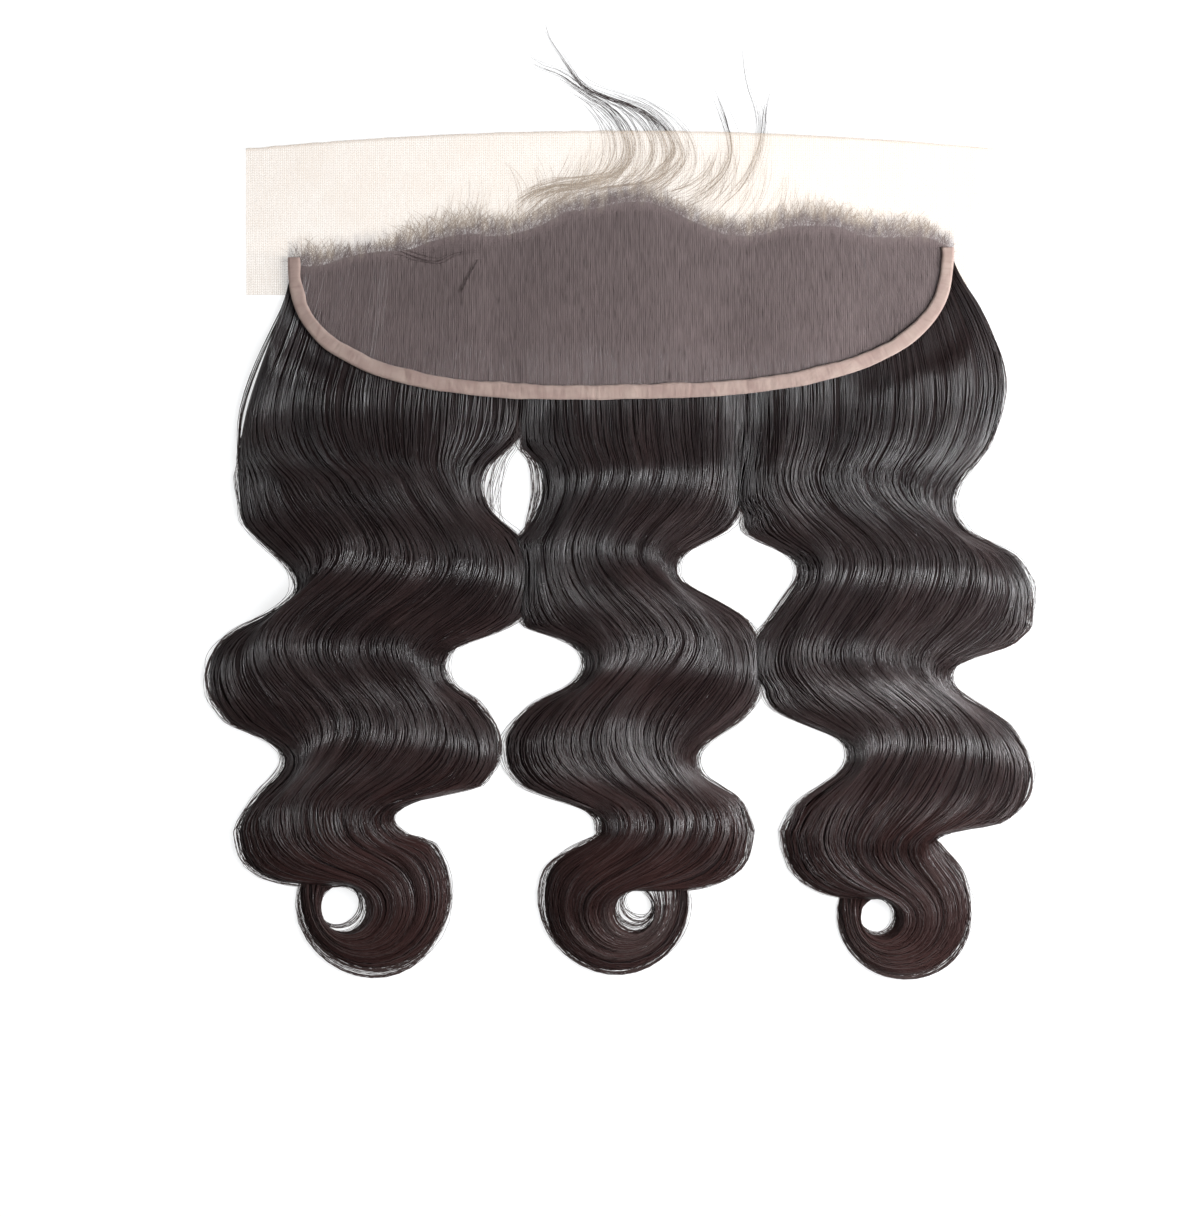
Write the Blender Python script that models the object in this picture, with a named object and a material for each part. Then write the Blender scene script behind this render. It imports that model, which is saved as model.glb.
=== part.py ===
"""Lace frontal hairpiece, 13 by 4 inches, lying flat with its scalp side up.

The lace base lies on the roots of three locks of body wave hair. The locks run under the lace, pass the
binding that hems its curved back edge, wave from side to side and end in a ring curl each. Wisps of baby
hair leave the hairline under the uncut front of the lace.

Lengths are in metres. X runs along the hairline, Y towards the cut front edge and Z up from the surface
that the hair rests on. The model is laid out from the middle of the binding's outer edge and is moved at the
end, so that its origin is the bottom centre of its bounding box.
"""

import math
from collections import namedtuple

import bmesh
import bpy
from mathutils import Vector

# Lace base
CAP_SPAN = 0.330  # hair area, temple to temple
CAP_DEPTH = 0.102  # peak of the hairline to the binding's outer edge
TEMPLE_DEPTH = 0.0735  # ends of the binding to its outer edge in the middle
BACK_SQUARENESS = 2.7  # exponent of the back edge: 2 is an ellipse
BACK_SKEW = 0.0025  # the right temple lies this far in front of the mean, the left one behind it
LACE_SPAN = 0.372  # with the uncut flaps past the temples
LACE_DEPTH = 0.134  # cut front edge to the binding's outer edge, in the middle
FRONT_BOW = 0.009  # the cut front edge curves back by this at its ends
FLAP_OVERLAP = 0.019  # a flap reaches this far back past the binding's end
LACE_WALL = 0.001

# Binding
BINDING_WIDTH = 0.0078
BINDING_WALL = 0.0011
PUCKER_HEIGHT = 0.0004
PUCKERS = 18
PLAIN_STRETCH = 0.08  # share of the binding, in its middle, that has no puckers

# Hair
WAVE_FALL = 0.215  # binding to the end of the waves, where the curls start
HAIR_LOFT = 0.015  # thickest part of a lock
HAIR_EDGE = 0.0012  # thickness of a lock's sides and roots
BACK_LIFT = 0.0105  # underside of the lace over the hair, at the back edge
SHOULDER_DROP = 0.35  # share of that height lost towards the temples
PARTING_GAP = 0.0008  # between neighbouring locks
STRANDS = 3  # ridges across a lock
STRAND_DEPTH = 0.16  # depth of the valleys between them, as a share of the lock's height
CROWN_FLATNESS = 2.6  # exponents of a lock's cross section: how flat it is on top
CROWN_STEEPNESS = 0.7  # and how steep at its sides
REVEAL = 0.006  # distance past the binding where the hair starts to rise above the lace
REVEAL_SLOPE = 0.35
CURL_RADIUS = 0.037  # outside of the largest curl
CURL_HOLE = 0.0118  # radius of its open middle
WISP_LOFT = 0.0012
WISP_RIM = 0.5  # thickness of a wisp's sides, as a share of WISP_LOFT
WISP_WIDTH = 0.007
WISP_REACH = 0.085  # hairline to the tip of the longest wisp

CLEARANCE = 0.0003  # between pieces that touch

# Mesh density
ACROSS_LOCK = 16
STEPS_PER_LEVEL = 3
STEPS_INTO_CURL = 5
STEPS_ROUND_CURL = 15
CAP_COLUMNS = 30
FLAP_COLUMNS = 2
LACE_ROWS = 10
BINDING_STEPS = 90
WISP_STEPS = 22

HALF_CAP = CAP_SPAN / 2
MARGIN_LIFT = WISP_LOFT + CLEARANCE

# The hairline's peaks and notches. side is a share of half the cap's span from its middle, and ahead a share
# of CAP_DEPTH from the binding.
Tuft = namedtuple("Tuft", "side ahead")
HAIRLINE = [
    Tuft(-1.00, 0.740),
    Tuft(-0.82, 0.745),
    Tuft(-0.44, 0.925),
    Tuft(-0.39, 0.870),
    Tuft(-0.14, 0.985),
    Tuft(0.05, 1.000),
    Tuft(0.34, 0.860),
    Tuft(0.58, 0.975),
    Tuft(0.78, 0.860),
    Tuft(0.90, 0.885),
    Tuft(1.00, 0.780),
]
ROOT_SIDES = (-0.985, -0.290, 0.340, 0.985)  # ends of the roots and the two partings, on the hairline

# The locks' edges, level by level. down is a share of WAVE_FALL below the binding, the other places are
# shares of half the cap's span from its middle, and rise is a share of HAIR_LOFT. Two neighbouring locks touch
# where their columns nearly meet.
Level = namedtuple("Level", "down left_out left_in middle_left middle_right right_in right_out rise")
LEVELS = [
    Level(-0.160, -1.042, -0.276, -0.270, 0.362, 0.368, 1.117, 0.70),
    Level(0.013, -1.120, -0.272, -0.266, 0.377, 0.383, 1.153, 0.82),
    Level(0.107, -1.144, -0.317, -0.300, 0.374, 0.380, 1.108, 0.96),
    Level(0.159, -1.150, -0.395, -0.244, 0.371, 0.377, 1.060, 1.00),
    Level(0.211, -1.153, -0.415, -0.234, 0.368, 0.374, 1.012, 0.97),
    Level(0.280, -1.138, -0.362, -0.269, 0.350, 0.371, 1.018, 0.86),
    Level(0.349, -1.055, -0.278, -0.272, 0.195, 0.482, 1.165, 0.88),
    Level(0.418, -0.982, -0.269, -0.263, 0.174, 0.527, 1.231, 1.00),
    Level(0.498, -1.085, -0.302, -0.293, 0.359, 0.458, 1.240, 0.88),
    Level(0.567, -1.207, -0.476, -0.141, 0.416, 0.425, 1.165, 0.86),
    Level(0.636, -1.244, -0.521, -0.118, 0.422, 0.430, 0.997, 1.00),
    Level(0.717, -1.200, -0.410, -0.284, 0.389, 0.464, 1.102, 0.86),
    Level(0.809, -1.030, -0.362, -0.350, 0.238, 0.684, 1.219, 0.96),
    Level(0.889, -1.066, -0.430, -0.287, 0.302, 0.563, 1.225, 0.86),
    Level(0.930, -1.114, -0.650, -0.153, 0.365, 0.530, 1.204, 0.84),
    Level(0.965, -1.141, -0.686, -0.069, 0.374, 0.503, 1.162, 0.88),
    Level(1.000, -1.150, -0.656, -0.075, 0.380, 0.488, 0.925, 0.94),
]

# The ring curl at the end of each lock. side places the middle of its outer circle as in LEVELS, drop is how
# far that lies below the last level, a share of CURL_RADIUS, and radius and hole are shares of CURL_RADIUS and
# CURL_HOLE. The hole's centre is off the circle's by hole_side and hole_down, shares of the circle's radius.
# start is the angle where the lock's edge joins the circle, and turn is 1 for a lock that comes round on its
# right and -1 on its left.
Curl = namedtuple("Curl", "side drop radius hole hole_side hole_down start turn")
LEFT_CURL = Curl(-0.742, 0.80, 1.00, 1.00, -0.427, 0.200, 38, 1)
MIDDLE_CURL = Curl(-0.015, 0.86, 0.97, 0.86, 0.260, 0.170, 20, -1)
RIGHT_CURL = Curl(0.850, 1.02, 0.88, 0.80, -0.390, 0.110, 26, 1)

# Angles in degrees, from the way the lock comes round, where a curl's inner edge starts and its edges end
INNER_START, INNER_END = 100, -228
OUTER_END = -181
CURL_RISE = 0.80  # height where a curl starts, as a share of HAIR_LOFT
TAIL_RISE = 0.34  # and at its tip
INNER_PULL = (1.3, 1.4)  # how strongly the lock's inner edge bellies out on its way into the curl
OUTER_PULL = (0.6, 0.9)

# Wisps of baby hair. side is a share of half the cap's span, ahead a share of WISP_REACH in front of the
# hairline at that side, and width a share of WISP_WIDTH.
Wisp = namedtuple("Wisp", "side ahead width")
WISPS = {
    "baby_hair_middle": [
        Wisp(0.080, 0.030, 0.9),
        Wisp(0.150, 0.168, 1.0),
        Wisp(0.166, 0.285, 0.9),
        Wisp(0.125, 0.404, 0.8),
        Wisp(0.030, 0.534, 0.7),
        Wisp(-0.085, 0.629, 0.5),
        Wisp(-0.165, 0.793, 0.4),
        Wisp(-0.224, 1.075, 0.2),
    ],
    "baby_hair_left": [
        Wisp(-0.225, 0.051, 0.7),
        Wisp(-0.135, 0.079, 0.9),
        Wisp(-0.045, 0.134, 0.9),
        Wisp(-0.005, 0.229, 0.8),
        Wisp(-0.022, 0.364, 0.6),
        Wisp(-0.065, 0.490, 0.35),
    ],
    "baby_hair_right": [
        Wisp(0.215, 0.085, 0.6),
        Wisp(0.290, 0.209, 0.7),
        Wisp(0.332, 0.316, 0.7),
        Wisp(0.338, 0.466, 0.5),
        Wisp(0.317, 0.624, 0.4),
        Wisp(0.297, 0.784, 0.25),
    ],
    "baby_hair_far_right": [
        Wisp(0.362, 0.152, 0.5),
        Wisp(0.405, 0.288, 0.6),
        Wisp(0.432, 0.445, 0.5),
        Wisp(0.419, 0.640, 0.4),
        Wisp(0.389, 0.825, 0.3),
        Wisp(0.370, 1.050, 0.2),
    ],
}

Finish = namedtuple("Finish", "color roughness")
HAIR = Finish((0.014, 0.009, 0.008, 1), 0.4)
BABY_HAIR = Finish((0.030, 0.020, 0.017, 1), 0.5)
LACE = Finish((0.78, 0.66, 0.55, 1), 0.8)
TAPE = Finish((0.46, 0.34, 0.30, 1), 0.8)

# One cross bar of a strip of hair: its two ends and its height
Rung = namedtuple("Rung", "left right rise")


def clamp(value):
    return min(1.0, max(0.0, value))


def smooth(value):
    """0 below 0, 1 above 1, and an even ease between them."""
    value = clamp(value)
    return value * value * (3 - 2 * value)


def lerp(first, last, share):
    return first + (last - first) * share


def spline(rows, place):
    """A point on the Catmull-Rom curve through the rows. place counts rows from 0."""
    index = min(int(place), len(rows) - 2)
    t = place - index
    p1, p2 = rows[index], rows[index + 1]
    p0 = rows[index - 1] if index > 0 else 2 * p1 - p2
    p3 = rows[index + 2] if index + 2 < len(rows) else 2 * p2 - p1
    bend = 2 * p0 - 5 * p1 + 4 * p2 - p3
    twist = 3 * p1 - p0 - 3 * p2 + p3
    return 0.5 * (2 * p1 + (p2 - p0) * t + bend * t**2 + twist * t**3)


def hermite(start, start_pull, end, end_pull, t):
    return (
        start * (2 * t**3 - 3 * t**2 + 1)
        + start_pull * (t**3 - 2 * t**2 + t)
        + end * (3 * t**2 - 2 * t**3)
        + end_pull * (t**3 - t**2)
    )


# Outlines of the lace base


def hairline(x):
    """How far the hairline lies in front of the binding's outer edge."""
    side = min(1.0, max(-1.0, x / HALF_CAP))
    index = max(i for i, tuft in enumerate(HAIRLINE[:-1]) if tuft.side <= side)
    behind, ahead = HAIRLINE[index], HAIRLINE[index + 1]
    share = smooth((side - behind.side) / (ahead.side - behind.side))
    return lerp(behind.ahead, ahead.ahead, share) * CAP_DEPTH


def front_edge(x):
    return LACE_DEPTH - FRONT_BOW * (2 * x / LACE_SPAN) ** 2


def binding_edge(x):
    """The binding's outer edge, from one temple to the other."""
    inside = clamp(1 - min(1.0, abs(x) / HALF_CAP) ** BACK_SQUARENESS)
    return TEMPLE_DEPTH * (1 - inside ** (1 / BACK_SQUARENESS)) + BACK_SKEW * x / HALF_CAP


def corner_side():
    """The share of half the cap's span where the flaps' back edge meets the binding's outer edge."""
    inside = FLAP_OVERLAP / TEMPLE_DEPTH
    return (1 - inside**BACK_SQUARENESS) ** (1 / BACK_SQUARENESS)


def back_edge(x):
    """The lace's back edge: the binding's outer edge, and past the corners the flaps' own edge."""
    corner = corner_side() * HALF_CAP
    return binding_edge(min(corner, max(-corner, x)))


def past_back_edge(x, y):
    """Rough distance past the binding's outer edge, negative inside it."""
    across = abs(x) / HALF_CAP
    deep = max(0.0, TEMPLE_DEPTH - y) / TEMPLE_DEPTH
    return ((across**BACK_SQUARENESS + deep**BACK_SQUARENESS) ** (1 / BACK_SQUARENESS) - 1) * TEMPLE_DEPTH


def lace_height(x, y):
    """The lace's underside: it lies low in front and climbs over the hair towards the back edge."""
    full = smooth((hairline(x) - y) / CAP_DEPTH)
    shoulder = 1 - SHOULDER_DROP * min(1.0, abs(x) / HALF_CAP) ** 2
    return lerp(MARGIN_LIFT, BACK_LIFT, full * shoulder)


# Solids made from a grid


def shaped_grid(name, across, along, place, finish, flat_base=False):
    """A closed solid: a grid with a thickness, whose every vertex place() puts where it belongs.

    place(u, v, top) gets the shares across and along, and whether the vertex is on the upper side.
    """
    mesh = bmesh.new()
    bmesh.ops.create_grid(mesh, x_segments=across, y_segments=along, size=0.5)
    lower = list(mesh.verts)
    shares = {vert: (vert.co.x + 0.5, vert.co.y + 0.5) for vert in lower}
    raised = bmesh.ops.extrude_face_region(mesh, geom=mesh.faces[:], use_keep_orig=True)
    upper = [item for item in raised["geom"] if isinstance(item, bmesh.types.BMVert)]
    for vert in upper:
        shares[vert] = (vert.co.x + 0.5, vert.co.y + 0.5)
    for verts, top in ((lower, False), (upper, True)):
        for vert in verts:
            vert.co = place(*shares[vert], top)
    bmesh.ops.recalc_face_normals(mesh, faces=mesh.faces)
    if flat_base:
        base = set(lower)
        edges = [edge for edge in mesh.edges if set(edge.verts) <= base]
        bmesh.ops.dissolve_limit(mesh, angle_limit=math.radians(0.1), verts=lower, edges=edges)
    data = bpy.data.meshes.new(name)
    mesh.to_mesh(data)
    mesh.free()
    data.shade_smooth()
    data.set_sharp_from_angle(angle=math.radians(40))
    data.materials.append(material(name, finish))
    return bpy.data.objects.new(name, data)


def material(name, finish):
    made = bpy.data.materials.new(name)
    made.use_nodes = True
    shader = made.node_tree.nodes["Principled BSDF"]
    shader.inputs["Base Color"].default_value = finish.color
    shader.inputs["Roughness"].default_value = finish.roughness
    shader.inputs["Metallic"].default_value = 0
    made.diffuse_color = finish.color
    return made


# The lace and its binding


def lace_base():
    half = LACE_SPAN / 2
    corner = corner_side() * HALF_CAP
    columns = CAP_COLUMNS + 2 * FLAP_COLUMNS

    def column(u):
        """Columns stand closer together towards the corners, where the back edge turns up."""
        place = abs(round(u * columns) - columns / 2)
        if place <= CAP_COLUMNS / 2:
            x = corner * math.sin(math.pi * place / CAP_COLUMNS)
        else:
            x = lerp(corner, half, (place - CAP_COLUMNS / 2) / FLAP_COLUMNS)
        return math.copysign(x, u - 0.5)

    def place(u, v, top):
        x = column(u)
        y = lerp(back_edge(x), front_edge(x), v)
        return Vector((x, y, lace_height(x, y) + (LACE_WALL if top else 0)))

    return shaped_grid("lace_base", columns, LACE_ROWS, place, LACE)


def binding_path():
    """Points at even spacing along the binding's outer edge, from the left temple to the right one."""
    fine = 20 * BINDING_STEPS
    sides = [-HALF_CAP * math.cos(math.pi * i / fine) for i in range(fine + 1)]
    points = [Vector((side, binding_edge(side))) for side in sides]
    gone = [0.0]
    for before, after in zip(points, points[1:]):
        gone.append(gone[-1] + (after - before).length)
    even = []
    index = 0
    for step in range(BINDING_STEPS + 1):
        target = gone[-1] * step / BINDING_STEPS
        while index < fine - 1 and gone[index + 1] < target:
            index += 1
        share = (target - gone[index]) / (gone[index + 1] - gone[index])
        even.append(points[index].lerp(points[index + 1], clamp(share)))
    return even


def edge_binding():
    path = binding_path()

    def place(u, v, top):
        step = round(v * BINDING_STEPS)
        ahead = path[min(step + 1, BINDING_STEPS)] - path[max(step - 1, 0)]
        inward = Vector((-ahead.y, ahead.x)).normalized()
        x, y = path[step] + inward * BINDING_WIDTH * u
        gathered = smooth((2 * abs(v - 0.5) - PLAIN_STRETCH) / PLAIN_STRETCH)
        puckered = gathered * PUCKER_HEIGHT * (0.5 - 0.5 * math.cos(2 * math.pi * PUCKERS * v))
        seat = max(lace_height(*(path[step] + inward * BINDING_WIDTH * side)) for side in (0, 0.5, 1))
        base = seat + LACE_WALL + CLEARANCE
        return Vector((x, y, base + (BINDING_WALL + puckered if top else 0)))

    return shaped_grid("edge_binding", 2, BINDING_STEPS, place, TAPE)


# Hair


def level_rungs(root_sides, columns):
    """The rung at the roots, and one for each level between two columns of the table."""
    roots = [Vector((side * HALF_CAP, hairline(side * HALF_CAP))) for side in root_sides]
    rungs = [Rung(*roots, HAIR_EDGE / HAIR_LOFT)]
    for level in LEVELS:
        y = -level.down * WAVE_FALL
        left, right = (getattr(level, column) * HALF_CAP for column in columns)
        rungs.append(Rung(Vector((left, y)), Vector((right, y)), level.rise))
    return rungs


def on_circle(centre, radius, turn, degrees):
    angle = math.radians(degrees)
    return centre + radius * Vector((turn * math.cos(angle), math.sin(angle)))


def curl_rung(curl, share):
    """The rung at this share of the way round a curl, from its inner to its outer edge."""
    radius = curl.radius * CURL_RADIUS
    centre = Vector((curl.side * HALF_CAP, -WAVE_FALL - curl.drop * CURL_RADIUS))
    hole = centre + radius * Vector((curl.hole_side, -curl.hole_down))
    inner = on_circle(hole, curl.hole * CURL_HOLE, curl.turn, lerp(INNER_START, INNER_END, share))
    outer = on_circle(centre, radius, curl.turn, lerp(curl.start, OUTER_END, share))
    rise = lerp(CURL_RISE, TAIL_RISE, share)
    return Rung(inner, outer, rise) if curl.turn > 0 else Rung(outer, inner, rise)


def into_curl(last_level, curl):
    """Rungs that carry the lock's edges on from its last level into the start of its curl."""
    start = curl_rung(curl, 0)
    after = curl_rung(curl, 0.05)
    pulls = (INNER_PULL, OUTER_PULL) if curl.turn > 0 else (OUTER_PULL, INNER_PULL)
    ends = []
    for edge, (first_pull, last_pull) in zip(("left", "right"), pulls):
        begin, end = getattr(last_level, edge), getattr(start, edge)
        reach = (end - begin).length
        heading = (getattr(after, edge) - end).normalized()
        ends.append((begin, Vector((0, -reach * first_pull)), end, heading * reach * last_pull))
    rungs = []
    for step in range(1, STEPS_INTO_CURL):
        t = step / STEPS_INTO_CURL
        left, right = (hermite(*end, t) for end in ends)
        rungs.append(Rung(left, right, lerp(last_level.rise, start.rise, t)))
    return rungs


def lock_rungs(root_sides, columns, curl):
    """Every rung of a lock, closely spaced, from its roots to the tip of its curl."""
    rows = level_rungs(root_sides, columns)
    lefts, rights, rises = zip(*rows)
    rungs = []
    for step in range((len(rows) - 1) * STEPS_PER_LEVEL + 1):
        place = step / STEPS_PER_LEVEL
        rungs.append(Rung(*(spline(column, place) for column in (lefts, rights, rises))))
    rungs += into_curl(rungs[-1], curl)
    rungs += [curl_rung(curl, step / STEPS_ROUND_CURL) for step in range(STEPS_ROUND_CURL + 1)]
    return rungs


def keep_partings(locks):
    """Moves a lock's left edge off its neighbour's right edge, level by level, where the two would meet."""
    for neighbour, lock in zip(locks, locks[1:]):
        for step in range(len(LEVELS) * STEPS_PER_LEVEL + 1):
            left = lock[step].left.copy()
            left.x = max(left.x, neighbour[step].right.x + PARTING_GAP)
            lock[step] = lock[step]._replace(left=left)


def crown(u):
    """Height across a lock: full over most of its width, thin at its two sides."""
    return (1 - abs(2 * u - 1) ** CROWN_FLATNESS) ** CROWN_STEEPNESS


def lock_solid(name, rungs):
    steps = len(rungs) - 1

    def place(u, v, top):
        step = round(v * steps)
        rung = rungs[step]
        x, y = rung.left.lerp(rung.right, u)
        root = rungs[0].left.lerp(rungs[0].right, u)
        bent = clamp(1 - step / STEPS_PER_LEVEL / 2)
        y += bent**2 * (hairline(root.x) - root.y)
        if not top:
            return Vector((x, y, 0))
        valley = STRAND_DEPTH * (0.5 + 0.5 * math.cos(2 * math.pi * STRANDS * u))
        own = HAIR_LOFT * rung.rise * crown(u) * (1 - valley * crown(u))
        uncovered = max(0.0, past_back_edge(x, y) - REVEAL)
        room = lace_height(x, y) - CLEARANCE + REVEAL_SLOPE * uncovered
        return Vector((x, y, max(HAIR_EDGE, min(own, room))))

    return shaped_grid(name, ACROSS_LOCK, steps, place, HAIR, flat_base=True)


def wisp_solid(name, rows):
    centres = []
    for row in rows:
        x = row.side * HALF_CAP
        centres.append(Vector((x, hairline(x) + row.ahead * WISP_REACH)))
    widths = [row.width * WISP_WIDTH for row in rows]
    last = len(rows) - 1
    near = 0.5 / WISP_STEPS

    def place(u, v, top):
        here = spline(centres, v * last)
        ahead = spline(centres, min(v + near, 1) * last) - spline(centres, max(v - near, 0) * last)
        side = Vector((ahead.y, -ahead.x)).normalized()
        x, y = here + side * spline(widths, v * last) * (u - 0.5)
        ridge = 1 - abs(2 * u - 1)
        return Vector((x, y, WISP_LOFT * lerp(WISP_RIM, 1, ridge) if top else 0))

    return shaped_grid(name, 2, WISP_STEPS, place, BABY_HAIR)


def build():
    for item in list(bpy.data.objects):
        bpy.data.objects.remove(item)

    left_root, left_parting, right_parting, right_root = ROOT_SIDES
    locks = [
        lock_rungs((left_root, left_parting), ("left_out", "left_in"), LEFT_CURL),
        lock_rungs((left_parting, right_parting), ("middle_left", "middle_right"), MIDDLE_CURL),
        lock_rungs((right_parting, right_root), ("right_in", "right_out"), RIGHT_CURL),
    ]
    keep_partings(locks)
    names = ("lock_left", "lock_middle", "lock_right")
    parts = [lock_solid(name, rungs) for name, rungs in zip(names, locks)]
    parts += [lace_base(), edge_binding()]
    parts += [wisp_solid(name, rows) for name, rows in WISPS.items()]

    collection = bpy.data.collections.new("lace_frontal")
    bpy.context.scene.collection.children.link(collection)
    root = bpy.data.objects.new("lace_frontal_origin", None)
    collection.objects.link(root)
    for part in parts:
        part.parent = root
        collection.objects.link(part)

    corners = [vert.co for part in parts for vert in part.data.vertices]
    for axis in (0, 1):
        places = [corner[axis] for corner in corners]
        root.location[axis] = -(min(places) + max(places)) / 2


build()
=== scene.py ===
"""Looks of a 13 by 4 inch lace frontal that lies flat with its scalp side up.

The solids give the outline and the height of every piece. Here the lace becomes a sheer net, the binding a
folded tape, and each lock a body of combed hair under some two thousand strands that follow its waves round
into its ring curl. Flyaways, the soft hairline and the wisps of baby hair are single fine hairs.

Everything is made in metres round the middle of the binding's outer edge, like the solids, and each finished
mesh is then moved to where its solid stands.
"""

import math
import random
from collections import namedtuple

import bmesh
import bpy
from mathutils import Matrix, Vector, noise


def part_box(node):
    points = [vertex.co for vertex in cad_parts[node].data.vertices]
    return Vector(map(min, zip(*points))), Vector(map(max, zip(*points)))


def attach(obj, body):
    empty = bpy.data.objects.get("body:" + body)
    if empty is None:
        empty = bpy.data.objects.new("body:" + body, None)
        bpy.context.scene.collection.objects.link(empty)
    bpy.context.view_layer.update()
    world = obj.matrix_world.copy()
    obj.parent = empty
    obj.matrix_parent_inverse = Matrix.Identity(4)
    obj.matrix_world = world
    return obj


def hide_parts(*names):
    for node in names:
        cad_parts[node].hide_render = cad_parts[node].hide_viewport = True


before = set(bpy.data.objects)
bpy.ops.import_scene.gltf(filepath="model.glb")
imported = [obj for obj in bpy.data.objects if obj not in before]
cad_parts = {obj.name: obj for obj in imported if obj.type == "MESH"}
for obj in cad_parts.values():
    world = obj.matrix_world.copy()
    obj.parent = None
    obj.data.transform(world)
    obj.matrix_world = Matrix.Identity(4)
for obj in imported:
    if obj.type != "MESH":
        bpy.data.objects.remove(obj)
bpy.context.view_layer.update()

# The photograph's frame, in its pixels
PHOTO_WIDTH, PHOTO_HEIGHT = 1200, 1217
PHOTO_SCALE = 0.000494  # metres a pixel
PHOTO_BINDING = (621, 400)  # middle of the binding's outer edge

# Lace base and binding, as in the solids
CAP_SPAN = 0.330
CAP_DEPTH = 0.102
TEMPLE_DEPTH = 0.0735
BACK_SQUARENESS = 2.7
BACK_SKEW = 0.0025
LACE_SPAN = 0.372
LACE_DEPTH = 0.134
FRONT_BOW = 0.009
FLAP_OVERLAP = 0.019
LACE_WALL = 0.001
BINDING_WIDTH = 0.0078
BINDING_WALL = 0.0011

# Hair, as in the solids
WAVE_FALL = 0.215
HAIR_LOFT = 0.015
HAIR_EDGE = 0.0012
BACK_LIFT = 0.0105
SHOULDER_DROP = 0.35
PARTING_GAP = 0.0008
STRANDS = 3
STRAND_DEPTH = 0.16
CROWN_FLATNESS = 2.6
CROWN_STEEPNESS = 0.7
REVEAL = 0.006
REVEAL_SLOPE = 0.35
CURL_RADIUS = 0.037
CURL_HOLE = 0.0118
WISP_LOFT = 0.0012
CLEARANCE = 0.0003

STEPS_PER_LEVEL = 3
STEPS_INTO_CURL = 5
STEPS_ROUND_CURL = 15
HALF_CAP = CAP_SPAN / 2
MARGIN_LIFT = WISP_LOFT + CLEARANCE
TUCK_UNDER = 0.0055  # how far a lock slips under its neighbour
TOUCHING, TOUCHING_EASE = 0.0022, 0.0012  # where their gap is smaller than this, and over what change of it
TAIL_TIP_RISE = 0.12  # the tails go one step on, under the lobe above them
ABOVE_TABLE = 0.0002  # undersides and the lowest strands lie this far above the table
UNDER_LACE = 0.0002  # fine hairs stay at least this far under the lace

Tuft = namedtuple("Tuft", "side ahead")
HAIRLINE = [
    Tuft(-1.00, 0.740),
    Tuft(-0.82, 0.745),
    Tuft(-0.44, 0.925),
    Tuft(-0.39, 0.870),
    Tuft(-0.14, 0.985),
    Tuft(0.05, 1.000),
    Tuft(0.34, 0.860),
    Tuft(0.58, 0.975),
    Tuft(0.78, 0.860),
    Tuft(0.90, 0.885),
    Tuft(1.00, 0.780),
]
ROOT_SIDES = (-0.985, -0.290, 0.340, 0.985)

Feather = namedtuple("Feather", "side depth")
# How far behind the hairline the hair is still thin, in metres
FEATHERING = [
    Feather(-1.00, 0.0070),
    Feather(-0.93, 0.0085),
    Feather(-0.78, 0.0030),
    Feather(-0.60, 0.0095),
    Feather(-0.44, 0.0110),
    Feather(-0.39, 0.0065),
    Feather(-0.24, 0.0085),
    Feather(-0.14, 0.0055),
    Feather(0.06, 0.0025),
    Feather(0.21, 0.0035),
    Feather(0.34, 0.0050),
    Feather(0.45, 0.0085),
    Feather(0.58, 0.0120),
    Feather(0.69, 0.0080),
    Feather(0.78, 0.0060),
    Feather(0.90, 0.0085),
    Feather(0.97, 0.0040),
    Feather(1.00, 0.0030),
]

Level = namedtuple("Level", "down rise")
# The rises are the scene's own: the combed surface dips behind the binding and swells at every bend
LEVELS = [
    Level(-0.160, 0.70),
    Level(0.013, 0.60),
    Level(0.107, 0.80),
    Level(0.159, 1.00),
    Level(0.211, 0.98),
    Level(0.280, 0.84),
    Level(0.349, 0.86),
    Level(0.418, 1.00),
    Level(0.498, 0.86),
    Level(0.567, 0.84),
    Level(0.636, 1.00),
    Level(0.717, 0.84),
    Level(0.809, 1.00),
    Level(0.889, 0.84),
    Level(0.930, 0.84),
    Level(0.965, 0.92),
    Level(1.000, 0.96),
]

Outline = namedtuple("Outline", "down left_out left_in middle_left middle_right right_in right_out")
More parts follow.
